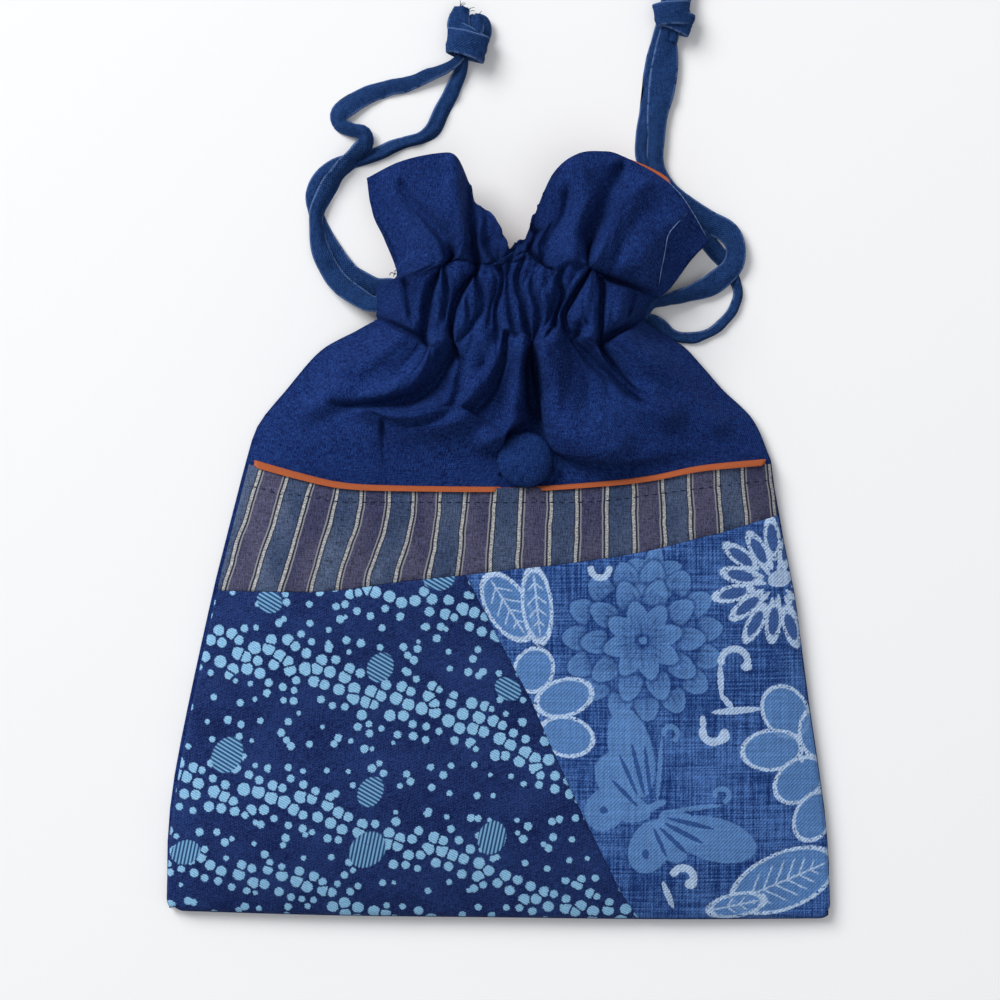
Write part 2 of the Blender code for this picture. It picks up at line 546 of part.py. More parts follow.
def tie(name, route, look):
    """Flat tie along its route: a strip with rounded edges that lies flat."""
    points = [(x * MM, y * MM, route_height(x, y, z), width) for x, y, z, width in route]
    rough = sum((Vector(b[:3]) - Vector(a[:3])).length for a, b in zip(points, points[1:]))
    stations = even_points(points, round(rough / TIE_STEP) + 1)
    data = bpy.data.curves.new(name, "CURVE")
    data.dimensions = "3D"
    data.twist_mode = "Z_UP"
    data.bevel_depth = TIE_THICKNESS / 2
    data.extrude = (TIE_WIDTH - TIE_THICKNESS) / 2
    data.bevel_resolution = 2
    data.resolution_u = 1
    data.render_resolution_u = 0
    data.use_fill_caps = True
    spline = data.splines.new("POLY")
    spline.points.add(len(stations) - 1)
    for point, station in zip(spline.points, stations):
        point.co = (*station[:3], 1)
        point.radius = station[3]
        point.tilt = math.radians(90)
    return add(name, data, look)


def knot(name, place, turn, look):
    """Overhand knot: the flat ties wrapped round once as a band, and their short cut tails."""
    width, length, height = KNOT_BAND
    tail_length, tail_width, tail_height = KNOT_TAIL
    mesh = bmesh.new()
    bmesh.ops.create_cube(mesh, size=1)
    bmesh.ops.scale(mesh, vec=(width, length, height), verts=mesh.verts)
    bmesh.ops.bevel(mesh, geom=mesh.edges[:], offset=3.2 * MM, segments=3, profile=0.5, affect="EDGES")
    band = bpy.data.meshes.new(name)
    mesh.to_mesh(band)
    mesh.free()
    tails = bmesh.new()
    bmesh.ops.create_cube(tails, size=1)
    bmesh.ops.scale(tails, vec=(tail_width, tail_length, tail_height), verts=tails.verts)
    for vert in tails.verts:
        if vert.co.y > 0:
            vert.co.x *= 1.25
    bmesh.ops.bevel(tails, geom=tails.edges[:], offset=0.9 * MM, segments=2, profile=0.5, affect="EDGES")
    bmesh.ops.translate(tails, vec=(0, length / 2 + tail_length * 0.35, -height * 0.1), verts=tails.verts)
    tail_data = bpy.data.meshes.new(name + "_tails")
    tails.to_mesh(tail_data)
    tails.free()
    piece = add(name, band, look)
    cutter = bpy.data.objects.new(name + "_tails", tail_data)
    CUTTERS.objects.link(cutter)
    cutter.hide_render = True
    cutter.display_type = "WIRE"
    for item in (piece, cutter):
        item.location = (place[0] * MM, place[1] * MM, height / 2 + 0.02 * MM)
        item.rotation_euler.z = math.radians(turn)
    join = piece.modifiers.new("tails", "BOOLEAN")
    join.operation = "UNION"
    join.object = cutter
    band.shade_smooth()
    band.set_sharp_from_angle(angle=math.radians(40))
    return piece


def build_ties():
    tie_linen = material("tie_linen", (0.02, 0.055, 0.16), 0.9)
    tie("drawstring_left", LEFT_ROUTE, tie_linen)
    tie("drawstring_right", RIGHT_ROUTE, tie_linen)
    knot("knot_left", (-10.4, 162.8), -12, tie_linen)
    knot("knot_right", (55.6, 169.6), 0, tie_linen)


for old in list(bpy.data.objects):
    bpy.data.objects.remove(old)
POUCH = bpy.data.collections.new("drawstring_pouch")
CUTTERS = bpy.data.collections.new("cutters")
bpy.context.scene.collection.children.link(POUCH)
bpy.context.scene.collection.children.link(CUTTERS)
BODY_WIDTH = RIGHT[0][0].x - LEFT[0][0].x
POCKET_LENGTH = ROWS[1][100].y - ROWS[0][100].y
HEM_SHARE = HEM_WIDTH / BODY_WIDTH
BOTTOM_HEM = HEM_WIDTH / POCKET_LENGTH
RIM_SHARE = RIM_WIDTH / POCKET_LENGTH
SEAM_SHARE = CLEARANCE / POCKET_LENGTH
build_pocket(build_panels())
build_button()
build_ties()
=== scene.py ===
import math
import random

import bmesh
import bpy
import numpy as np
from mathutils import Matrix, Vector, noise


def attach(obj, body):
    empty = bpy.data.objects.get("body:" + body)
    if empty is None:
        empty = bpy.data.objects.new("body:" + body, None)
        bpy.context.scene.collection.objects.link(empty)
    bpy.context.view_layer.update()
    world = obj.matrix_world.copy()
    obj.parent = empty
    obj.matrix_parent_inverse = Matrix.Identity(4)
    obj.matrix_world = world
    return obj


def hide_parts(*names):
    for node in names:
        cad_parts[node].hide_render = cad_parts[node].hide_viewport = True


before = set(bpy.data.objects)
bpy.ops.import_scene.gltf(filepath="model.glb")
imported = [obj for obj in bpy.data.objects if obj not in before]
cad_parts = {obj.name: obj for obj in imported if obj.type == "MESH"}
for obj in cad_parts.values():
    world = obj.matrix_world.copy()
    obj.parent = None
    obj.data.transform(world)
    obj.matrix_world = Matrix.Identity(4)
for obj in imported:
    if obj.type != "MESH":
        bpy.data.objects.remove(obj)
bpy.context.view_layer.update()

# Camera, table and light. The pouch is seen from straight above, with its mouth at the top of the
# picture, on a white table under a large soft lamp at the upper left.
MM = 0.001
VIEW_CENTRE = (0.0005, 0.0117)
VIEW_WIDTH = 0.330
VIEW_HEIGHT = 0.95
PAPER = (0.93, 0.93, 0.935)

camera = bpy.data.objects.new("camera", bpy.data.cameras.new("camera"))
camera.data.sensor_width = 36
camera.data.lens = 36 * VIEW_HEIGHT / VIEW_WIDTH
camera.data.clip_end = 10
camera.location = (*VIEW_CENTRE, VIEW_HEIGHT)
bpy.context.scene.collection.objects.link(camera)
bpy.context.scene.camera = camera
bpy.context.scene.view_settings.view_transform = "Standard"


def lamp(name, size, strength, place):
    """Square area lamp that faces the pouch."""
    light = bpy.data.lights.new(name, "AREA")
    light.size = size
    light.energy = strength
    item = bpy.data.objects.new(name, light)
    item.location = place
    item.rotation_euler = (Vector((0, 0, 0)) - Vector(place)).to_track_quat("-Z", "Y").to_euler()
    bpy.context.scene.collection.objects.link(item)


lamp("window", 1.7, 97.0, (-1.72, 1.82, 2.0))
lamp("ceiling", 2.4, 12.0, (0.5, -0.6, 2.6))

world = bpy.data.worlds.new("room")
bpy.context.scene.world = world
world.use_nodes = True
air = world.node_tree.nodes["Background"].inputs
air["Color"].default_value = (0.93, 0.96, 1.0, 1)
air["Strength"].default_value = 0.33


def mesh_data(name, mesh):
    """Turns a bmesh into an object's mesh."""
    data = bpy.data.meshes.new(name)
    mesh.to_mesh(data)
    mesh.free()
    return data


table_mesh = bmesh.new()
bmesh.ops.create_grid(table_mesh, x_segments=2, y_segments=2, size=4)
table_data = mesh_data("table", table_mesh)
table_top = bpy.data.objects.new("table", table_data)
bpy.context.scene.collection.objects.link(table_top)
table_white = bpy.data.materials.new("table_white")
table_white.use_nodes = True
table_finish = table_white.node_tree.nodes["Principled BSDF"].inputs
table_finish["Base Color"].default_value = (*PAPER, 1)
table_finish["Roughness"].default_value = 0.9
table_finish["Specular IOR Level"].default_value = 0.1
table_data.materials.append(table_white)


# The two flat ties, sewn from a folded strip of navy linen. Each runs from its knot through the
# front channel, round the side seam, back through the rear channel and out to its knot again. A route's
# points give x, y and height in millimetres, and the share of the tie's width that shows there.
TIE_WIDTH = 8.4 * MM
TIE_THICKNESS = 1.0 * MM
TIE_RINGS = 420
FRONT = "front"
BACK = "back"
LEFT_ROUTE = (
    (-12.9, 158.0, 5.0, 0.3), (-14.5, 156.1, 4.6, 0.34), (-17.9, 154.0, 3.6, 0.42),
    (-22.6, 152.4, 2.4, 0.52), (-29.7, 149.4, 1.5, 0.58), (-36.9, 147.8, 1.3, 0.66),
    (-44.0, 144.9, 1.2, 0.76), (-49.4, 141.9, 1.2, 0.84), (-52.5, 138.8, 1.5, 0.8),
    (-51.9, 135.2, 2.2, 0.62), (-48.0, 133.3, 3.2, 0.55), (-44.3, 132.5, 3.9, 0.6),
    (-43.6, 128.9, 3.8, 0.72), (-46.8, 125.0, 3.2, 0.8), (-51.2, 120.2, 3.0, 0.84),
    (-55.5, 114.6, 2.9, 0.8), (-58.9, 108.7, 2.9, 0.66), (-59.9, 103.7, 2.9, 0.56),
    (-59.5, 98.0, 2.9, 0.66), (-57.8, 92.1, 3.0, 0.76), (-53.7, 84.9, 3.2, 0.8),
    (-47.6, 79.2, 4.6, 0.8), (-40.8, 76.1, 6.4, 0.66), (-36.0, 80.0, FRONT, 0.62),
    (-31.0, 79.6, FRONT, 0.62), (-24.0, 79.5, FRONT, 0.62), (-10.0, 79.5, FRONT, 0.62),
    (5.0, 79.5, FRONT, 0.62), (20.0, 79.5, FRONT, 0.62), (33.0, 79.3, FRONT, 0.62),
    (39.0, 78.6, FRONT, 0.55), (43.4, 77.6, FRONT, 0.45), (46.3, 77.2, 7.4, 0.45),
    (47.2, 77.1, 5.4, 0.45), (46.0, 77.3, 3.9, 0.45), (41.0, 78.6, BACK, 0.55),
    (34.0, 79.4, BACK, 0.62), (20.0, 79.5, BACK, 0.62), (0.0, 79.5, BACK, 0.62),
    (-20.0, 79.5, BACK, 0.62), (-31.0, 80.4, BACK, 0.62), (-35.4, 82.1, 2.2, 0.62),
    (-40.8, 82.1, 1.2, 0.76), (-48.3, 85.2, 0.9, 0.92), (-53.9, 92.0, 0.9, 0.84),
    (-57.8, 99.4, 0.9, 0.66), (-60.4, 106.9, 0.9, 0.58), (-60.8, 112.3, 0.9, 0.66),
    (-58.1, 118.2, 0.9, 0.66), (-52.6, 122.0, 0.9, 0.62), (-46.9, 123.5, 0.9, 0.56),
    (-40.5, 125.3, 0.9, 0.5), (-35.4, 127.6, 0.9, 0.5), (-30.4, 129.3, 0.9, 0.46),
    (-25.4, 130.9, 1.0, 0.5), (-21.6, 133.8, 1.2, 0.66), (-18.8, 139.1, 1.2, 0.66),
    (-15.4, 145.8, 1.4, 0.6), (-12.7, 151.7, 2.0, 0.52), (-11.7, 155.2, 3.0, 0.5),
    (-11.7, 158.0, 3.6, 0.44),
)
RIGHT_ROUTE = (
    (55.8, 170.4, 5.0, 0.5), (55.5, 165.4, 4.2, 0.6), (55.3, 161.6, 3.2, 0.84),
    (54.7, 154.7, 2.7, 1.06), (53.6, 146.4, 2.7, 1.04), (52.4, 138.8, 2.7, 0.84),
    (51.8, 131.3, 2.7, 0.7), (51.5, 124.4, 2.7, 0.66), (53.0, 118.4, 2.7, 0.66),
    (58.5, 111.4, 2.7, 0.72), (67.6, 104.4, 2.7, 0.86), (74.8, 100.2, 2.8, 0.9),
    (78.0, 94.7, 3.2, 0.78), (76.8, 88.7, 3.2, 0.84), (70.6, 82.8, 3.2, 0.86),
    (62.7, 79.0, 4.6, 0.7), (55.5, 77.3, 6.4, 0.58), (50.5, 76.0, 7.6, 0.5),
    (46.5, 71.6, FRONT, 0.5), (40.0, 71.4, FRONT, 0.6), (33.0, 71.8, FRONT, 0.62),
    (20.0, 72.0, FRONT, 0.62), (5.0, 72.0, FRONT, 0.62), (-10.0, 72.0, FRONT, 0.62),
    (-24.0, 72.2, FRONT, 0.62), (-30.0, 73.0, FRONT, 0.55), (-34.6, 73.6, FRONT, 0.45),
    (-37.4, 73.8, 7.2, 0.45), (-38.3, 73.8, 5.4, 0.45), (-37.2, 73.6, 3.9, 0.45),
    (-32.0, 73.0, BACK, 0.55), (-24.0, 72.2, BACK, 0.62), (-8.0, 72.0, BACK, 0.62),
    (8.0, 72.0, BACK, 0.62), (24.0, 72.0, BACK, 0.62), (38.0, 71.4, BACK, 0.66),
    (49.0, 69.7, 3.4, 0.72), (52.6, 68.4, 2.6, 0.6), (57.7, 65.5, 1.5, 0.42),
    (63.8, 64.4, 1.1, 0.4), (69.9, 66.4, 1.0, 0.42), (75.3, 71.0, 1.0, 0.42),
    (78.6, 76.0, 1.0, 0.42), (79.4, 81.1, 1.0, 0.44), (77.1, 86.9, 1.0, 0.5),
    (72.5, 93.0, 1.0, 0.66), (66.8, 99.4, 1.0, 0.7), (58.5, 108.5, 1.0, 0.7),
    (50.5, 118.2, 1.0, 0.66), (47.9, 124.4, 1.0, 0.6), (47.6, 131.3, 1.0, 0.56),
    (49.1, 138.8, 1.0, 0.6), (49.9, 146.4, 1.0, 0.6), (51.1, 155.5, 1.0, 0.6),
    (52.9, 163.8, 2.0, 0.5), (54.1, 169.9, 3.2, 0.4),
)
FRONT_TIE_EDGE = 7.45
FRONT_TIE_MIDDLE = 13.15
BACK_TIE = 3.8
CHANNEL_CENTRE = 4.4
CHANNEL_HALF = 44.9


def route_point(x, y, z, width):
    """A route's point in metres, with its height in a channel filled in."""
    if z == BACK:
        z = BACK_TIE
    elif z == FRONT:
        rise = 1 - abs((x - CHANNEL_CENTRE) / CHANNEL_HALF) ** 4
        z = FRONT_TIE_EDGE + (FRONT_TIE_MIDDLE - FRONT_TIE_EDGE) * rise
    return x * MM, y * MM, z * MM, width


def smooth(points, shares):
    """Places at the given shares of the length of a smooth curve through the points."""
    points = np.array(points, float)
    ends = np.vstack([2 * points[0] - points[1], points, 2 * points[-1] - points[-2]])
    steps = np.linspace(0, len(points) - 1, 40 * (len(points) - 1) + 1)
    index = np.minimum(steps.astype(int), len(points) - 2)
    w = (steps - index)[:, None]
    a, b, c, d = (ends[index + shift] for shift in range(4))
    fine = 0.5 * (2 * b + (c - a) * w + (2 * a - 5 * b + 4 * c - d) * w ** 2
                  + (3 * b - a - 3 * c + d) * w ** 3)
    reach = np.concatenate([[0], np.cumsum(np.linalg.norm(np.diff(fine[:, :3], axis=0), axis=1))])
    return np.column_stack([np.interp(np.array(shares) * reach[-1], reach, fine[:, axis])
                            for axis in range(fine.shape[1])])


class Value:
    """A number socket in a material. Python's operators on it add Math nodes."""

    def __init__(self, look, socket):
        self.look = look
        self.socket = socket

    def maths(self, operation, *others):
        return self.look.maths(operation, self, *others)

    def __add__(self, other):
        return self.maths("ADD", other)

    def __sub__(self, other):
        return self.maths("SUBTRACT", other)

    def __rsub__(self, other):
        return self.look.maths("SUBTRACT", other, self)

    def __mul__(self, other):
        return self.maths("MULTIPLY", other)

    def __truediv__(self, other):
        return self.maths("DIVIDE", other)

    def __pow__(self, other):
        return self.maths("POWER", other)

    def __lt__(self, other):
        return self.maths("LESS_THAN", other)

    def __gt__(self, other):
        return self.maths("GREATER_THAN", other)

    __radd__ = __add__
    __rmul__ = __mul__

    def step(self, low, high):
        """0 below low, 1 above high, smooth between."""
        return self.look.node("ShaderNodeMapRange", {"interpolation_type": "SMOOTHSTEP"},
                              {"Value": self, "From Min": low, "From Max": high})

    def near(self, centre, half, soft):
        """1 within half of the centre, and 0 beyond it, over a soft edge."""
        return 1 - (self - centre).maths("ABSOLUTE").step(half, half + soft)


class Nodes:
    """A node tree, with short ways to add nodes to it."""

    def __init__(self, tree):
        self.tree = tree

    def node(self, kind, settings, values, output=0):
        item = self.tree.nodes.new(kind)
        for name, setting in settings.items():
            setattr(item, name, setting)
        for name, value in values.items():
            self.link(value, item.inputs[name])
        return Value(self, item.outputs[output])

    def link(self, value, socket):
        if isinstance(value, Value):
            self.tree.links.new(value.socket, socket)
        elif hasattr(value, "__len__") and len(value) == 3 and len(socket.default_value) == 4:
            socket.default_value = (*value, 1)
        else:
            socket.default_value = value

    def maths(self, operation, *values):
        return self.node("ShaderNodeMath", {"operation": operation}, dict(enumerate(values)))

    def mix(self, share, low, high, blend="MIX"):
        return self.node("ShaderNodeMix", {"data_type": "RGBA", "blend_type": blend},
                         {0: share, 6: low, 7: high}, 2)

    def vector(self, x, y, z=0.0):
        return self.node("ShaderNodeCombineXYZ", {}, {"X": x, "Y": y, "Z": z})

    def parts(self, vector):
        """The three numbers of a vector."""
        item = self.tree.nodes.new("ShaderNodeSeparateXYZ")
        self.link(vector, item.inputs[0])
        return [Value(self, socket) for socket in item.outputs]

    def noise(self, x, y, z=0.0, detail=2.0, roughness=0.5):
        return self.node("ShaderNodeTexNoise", {}, {"Vector": self.vector(x, y, z), "Scale": 1.0,
                                                    "Detail": detail, "Roughness": roughness})


class Look(Nodes):
    """A cloth or metal finish: a Principled material whose nodes are added as they are used."""

    def __init__(self, name, roughness, metallic=0.0):
        self.material = bpy.data.materials.new(name)
        self.material.use_nodes = True
        super().__init__(self.material.node_tree)
        self.shader = self.tree.nodes["Principled BSDF"]
        self.shader.inputs["Roughness"].default_value = roughness
        self.shader.inputs["Metallic"].default_value = metallic
        self.shader.inputs["Specular IOR Level"].default_value = 0.08

    def cut(self):
        """Place on the flat cloth, across and along, in millimetres."""
        place = self.node("ShaderNodeAttribute", {"attribute_name": "cut"}, {}, 1)
        across, along, _ = self.parts(place)
        return across * 1000, along * 1000

    def finish(self, colour, height, depth):
        """Joins up the colour and the relief of the threads, whose depth is in metres."""
        self.link(colour, self.shader.inputs["Base Color"])
        bump = self.node("ShaderNodeBump", {}, {"Strength": 1.0, "Distance": depth, "Height": height})
        self.link(bump, self.shader.inputs["Normal"])
        return self.material


class Motif(Nodes):
    """A printed motif as a node group, which a cloth's material can use many times."""

    def __init__(self, name, numbers, colours):
        super().__init__(bpy.data.node_groups.new(name, "ShaderNodeTree"))
        sockets = self.tree.interface
        for kind, names in (("NodeSocketFloat", numbers), ("NodeSocketColor", colours)):
            for label in names:
                sockets.new_socket(name=label, in_out="INPUT", socket_type=kind)
        sockets.new_socket(name="Colour", in_out="OUTPUT", socket_type="NodeSocketColor")
        given = self.tree.nodes.new("NodeGroupInput")
        self.given = {label: Value(self, given.outputs[label]) for label in (*numbers, *colours)}
        self.result = self.tree.nodes.new("NodeGroupOutput")

    def finish(self, colour):
        self.link(colour, self.result.inputs["Colour"])
        return self.tree


def plain_weave(look, across, along, pitch):
    """Height of a plain weave of round threads, and its light and dark threads and slubs."""
    wobble = look.noise(across * 0.35, along * 0.35) * 1.2
    warp = (across / pitch + wobble).maths("MULTIPLY", math.pi).maths("SINE")
    weft = (along / pitch + wobble).maths("MULTIPLY", math.pi).maths("SINE")
    height = (warp * weft) * 0.35 + 0.5
    warp_slub = look.noise(across / (pitch * 0.7), along * 0.3, 3.0, 3.0, 0.6)
    weft_slub = look.noise(across * 0.3, along / (pitch * 0.7), 9.0, 3.0, 0.6)
    speck = look.noise((across + along * 0.3) / (pitch * 0.62), (along - across * 0.3) / (pitch * 2.8),
                       5.0, 2.0)
    slub = (warp_slub + weft_slub - 1.0) * 0.6 + (speck - 0.5) * 0.75
    return height + slub * 0.6, slub


def navy_linen(name, dark, light, pitch=0.45, contrast=3.0):
    """Navy linen: two shades of yarn, with slubs both ways and faint patches of fading."""
    look = Look(name, 0.95)
    across, along = look.cut()
    height, slub = plain_weave(look, across, along, pitch)
    faded = look.noise(across * 0.05, along * 0.05, 5.0, 4.0, 0.6)
    share = (slub * contrast + (faded - 0.5) * 0.6 + 0.42).maths("MAXIMUM", 0.0).maths("MINIMUM", 1.0)
    return look.finish(look.mix(share, dark, light), height, 0.0004)


def finished(name, data, material, *nodes):
    """Piece at the origin that stands for the given nodes."""
    piece = bpy.data.objects.new(name, data)
    bpy.context.scene.collection.objects.link(piece)
    data.materials.append(material)
    data.shade_smooth()
    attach(piece, "root")
    if nodes:
        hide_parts(*nodes)
    return piece


def keep_cut(data, across, along):
    """Keeps each point's place on the flat cloth, in metres, for the weave and the prints."""
    cut = data.attributes.new("cut", "FLOAT_VECTOR", "POINT")
    cut.data.foreach_set("vector", np.column_stack([across, along, np.zeros(len(across))]).ravel())


TIE_SECTION = 24
LOWEST = 0.05 * MM
tie_look = Look("tie_linen", 0.95)
across, along = tie_look.cut()
weave, slub = plain_weave(tie_look, across, along, 0.5)
share = (slub * 2.2 + 0.45).maths("MAXIMUM", 0.0).maths("MINIMUM", 1.0)
colour = tie_look.mix(share, (0.005, 0.021, 0.090), (0.026, 0.078, 0.235))
rubbed = tie_look.noise(along * 0.5, across * 0.2, 7.0).step(0.3, 0.5)
worn_edge = across.maths("ABSOLUTE").step(3.3, 4.0) * rubbed
colour = tie_look.mix(worn_edge * 0.75, colour, (0.11, 0.19, 0.40))
tie_linen = tie_look.finish(colour, weave, 0.0004)


def ribbon(mesh, track, side, thickness, seed=0.0):
    """Adds a flat tube of folded cloth to a mesh. track holds places and width shares, and side the
    way that the cloth's width lies at each of them. Its own cut is kept in a layer of the mesh."""
    centre, width = track[:, :3], track[:, 3]
    rings = len(track)
    reach = np.concatenate([[0], np.cumsum(np.linalg.norm(np.diff(centre, axis=0), axis=1))])
    ahead = np.gradient(centre, axis=0)
    ahead /= np.linalg.norm(ahead, axis=1)[:, None]
    side = side - ahead * (side * ahead).sum(axis=1)[:, None]
    side /= np.linalg.norm(side, axis=1)[:, None]
    upright = np.cross(ahead, side)
    from_ends = np.minimum(reach, reach[-1] - reach) / reach[-1]
    side_wave = np.sin(reach * 330 + 2 * np.sin(reach * 140)) * from_ends
    layers = mesh.verts.layers.float_vector
    cut_layer = layers.get("cut") or layers.new("cut")
    verts = bmesh.ops.create_grid(mesh, x_segments=TIE_SECTION, y_segments=rings - 1, size=0.5)["verts"]
    for vert in verts:
        ring = round((vert.co.y + 0.5) * (rings - 1))
        angle = 2 * math.pi * (vert.co.x + 0.5)
        share = width[ring]
        s = math.copysign(abs(math.cos(angle)) ** 0.75, math.cos(angle))
        top = math.copysign(abs(math.sin(angle)) ** 0.6, math.sin(angle))
        spot = reach[ring] * 70 + seed
        wave = noise.noise(Vector((spot, 5.0, 1.0)))
        twist = noise.noise(Vector((spot * 0.55, 9.0, 4.0)))
        wide = s * TIE_WIDTH / 2 * share * (1 + 0.09 * noise.noise(Vector((spot * 1.6, s, 3.0))))
        folded_edge = 0.62 + 0.5 * s ** 6 - 0.42 * math.exp(-((s + 0.2 - 0.35 * wave) / 0.12) ** 2)
        high = top * thickness / 2 * folded_edge
        crest = 0.7 * noise.noise(Vector((spot * 0.4, 2.0, 7.0))) - 0.15
        high += max(0.12, 1.1 - share) * TIE_WIDTH * 0.62 * (0.45 - abs(s - crest)) * share ** 0.5
        high += 0.8 * MM * noise.noise(Vector((spot * 2.8, s * 1.8, 1.0))) + 0.9 * MM * twist * s
        wide += side_wave[ring] * TIE_WIDTH * 0.06
        vert.co = Vector(centre[ring]) + Vector(side[ring]) * wide + Vector(upright[ring]) * high
        vert.co.z = max(vert.co.z, LOWEST)
        vert[cut_layer] = (s * TIE_WIDTH / 2, reach[ring] + seed, 0)
    bmesh.ops.remove_doubles(mesh, verts=verts, dist=1e-7)


def level_side(track):
    """The level way across a route."""
    ahead = np.gradient(track[:, :3], axis=0)
    return np.column_stack([-ahead[:, 1], ahead[:, 0], np.zeros(len(ahead))])


def turned_side(track, twists):
    """The way across a route, leaning by the given degrees at the given shares of its length."""
    level = level_side(track)
    level /= np.linalg.norm(level, axis=1)[:, None]
    shares = np.linspace(0, 1, len(track))
    lean = np.radians(np.interp(shares, *zip(*twists)))[:, None]
    return level * np.cos(lean) + np.array([0.0, 0.0, 1.0]) * np.sin(lean)


TIE_TWISTS = {
    "tie_left": ((0.0, 40), (0.03, 35), (0.08, 12), (0.13, 8), (0.155, -44), (0.18, -48), (0.2, -14),
                 (0.26, 8), (0.33, -14), (0.4, 6), (0.5, 0), (0.7, 0), (0.78, -14), (0.84, 10),
                 (0.9, 26), (0.93, 12), (1.0, 20)),
    "tie_right": ((0.0, 0), (0.1, 4), (0.2, 10), (0.25, -22), (0.29, -12), (0.36, 14), (0.42, 0), (0.6, 0),
                  (0.66, 22), (0.72, 38), (0.77, 24), (0.82, 0), (1.0, 12)),
}


def ribbon_piece(name, mesh, node):
    bmesh.ops.holes_fill(mesh, edges=[edge for edge in mesh.edges if edge.is_boundary], sides=0)
    bmesh.ops.recalc_face_normals(mesh, faces=mesh.faces)
    piece = finished(name, mesh_data(name, mesh), tie_linen, node)
    return piece


for name, route, node in (("tie_left", LEFT_ROUTE, "drawstring_left"),
                          ("tie_right", RIGHT_ROUTE, "drawstring_right")):
    track = smooth([route_point(*point) for point in route], np.linspace(0, 1, TIE_RINGS))
    mesh = bmesh.new()
    ribbon(mesh, track, turned_side(track, TIE_TWISTS[name]), TIE_THICKNESS)
    piece = ribbon_piece(name, mesh, node)

# The knots. Each is an overhand knot in both ends of a tie: a turn that is pulled tight round the two
# strands, a second turn that shows behind it, and the ends, cut slanting and a little frayed.
KNOT_TURNS = (
    ("knot_left", (
        ((-10.6, 160.6, 4.9), 6.3, 3.6, 1.02, -12), ((-9.8, 162.6, 4.4), 5.4, 2.7, 0.85, -25))),
    ("knot_right", (
        ((57.0, 170.6, 5.0), 5.4, 3.7, 0.95, 8), ((58.2, 168.6, 4.4), 5.0, 2.9, 0.9, -15))),
)
KNOT_ENDS = {
    "knot_left": (
        ((-12.0, 158.0, 4.6, 0.6), (-12.4, 163.0, 5.4, 0.7), (-13.2, 167.6, 5.8, 0.92),
         (-12.0, 173.6, 5.2, 0.62)),
        ((-9.8, 158.0, 4.0, 0.6), (-9.4, 163.6, 4.9, 0.75), (-8.2, 167.4, 5.4, 0.85),
         (-6.6, 170.6, 5.0, 0.6)),
        ((-8.2, 170.4, 4.6, 0.4), (-5.4, 168.8, 4.4, 0.55), (-4.2, 165.6, 4.0, 0.5),
         (-5.2, 162.0, 3.2, 0.4)),
    ),
    "knot_right": (
        ((56.4, 162.4, 3.4, 0.6), (57.6, 170.0, 4.6, 0.8), (59.4, 176.6, 4.4, 0.95),
         (60.2, 184.0, 3.8, 0.9)),
        ((54.8, 162.6, 3.0, 0.5), (55.8, 170.0, 3.8, 0.7), (57.4, 176.4, 3.2, 0.95),
         (57.8, 183.0, 2.6, 0.9)),
    ),
}
TURN_RINGS = 64
TURN_THICKNESS = 1.7 * MM
END_RINGS = 30
END_THICKNESS = 1.3 * MM
for name, turns in KNOT_TURNS:
    mesh = bmesh.new()
    for index, ((x, y, z), half_width, half_height, share, degrees) in enumerate(turns):
        tilt = math.radians(degrees)
        along = np.array([math.sin(-tilt), math.cos(-tilt), 0.0])
        across = np.array([along[1], -along[0], 0.0])
        angle = np.linspace(0, math.tau * 0.999, TURN_RINGS)
        round_part = np.cos(angle)[:, None] * across * half_width
        round_part = round_part + np.sin(angle)[:, None] * [0, 0, half_height]
        lean = np.sin(angle * 0.5)[:, None] * along * 0.9
        track = np.column_stack([(np.array([x, y, z]) + round_part + lean) * MM,
                                 share * (1 + 0.06 * np.cos(angle + 1))])
        ribbon(mesh, track, np.tile(-along, (TURN_RINGS, 1)), TURN_THICKNESS, 0.3 + 0.2 * index)
    for index, route in enumerate(KNOT_ENDS[name]):
        track = smooth([(x * MM, y * MM, z * MM, share) for x, y, z, share in route],
                       np.linspace(0, 1, END_RINGS))
        ribbon(mesh, track, level_side(track), END_THICKNESS, 0.8 + 0.2 * index)
    ribbon_piece(name + "_cloth", mesh, name)

# Loose threads at the cut ends of the ties, and on the cloth.
THREAD_RINGS = 14


def thread_yarn(name, dark, light):
    """Spun thread, dark and light in turn along it."""
    look = Look(name, 0.8)
    x, _ = look.cut()
    ply = (x * 6.0).maths("SINE") * 0.5 + 0.5
    look.link(look.mix(ply, dark, light), look.shader.inputs["Base Color"])
    return look.material


navy_thread = thread_yarn("navy_thread", (0.006, 0.010, 0.03), (0.02, 0.035, 0.09))
pale_thread = thread_yarn("pale_thread", (0.10, 0.17, 0.36), (0.20, 0.30, 0.52))


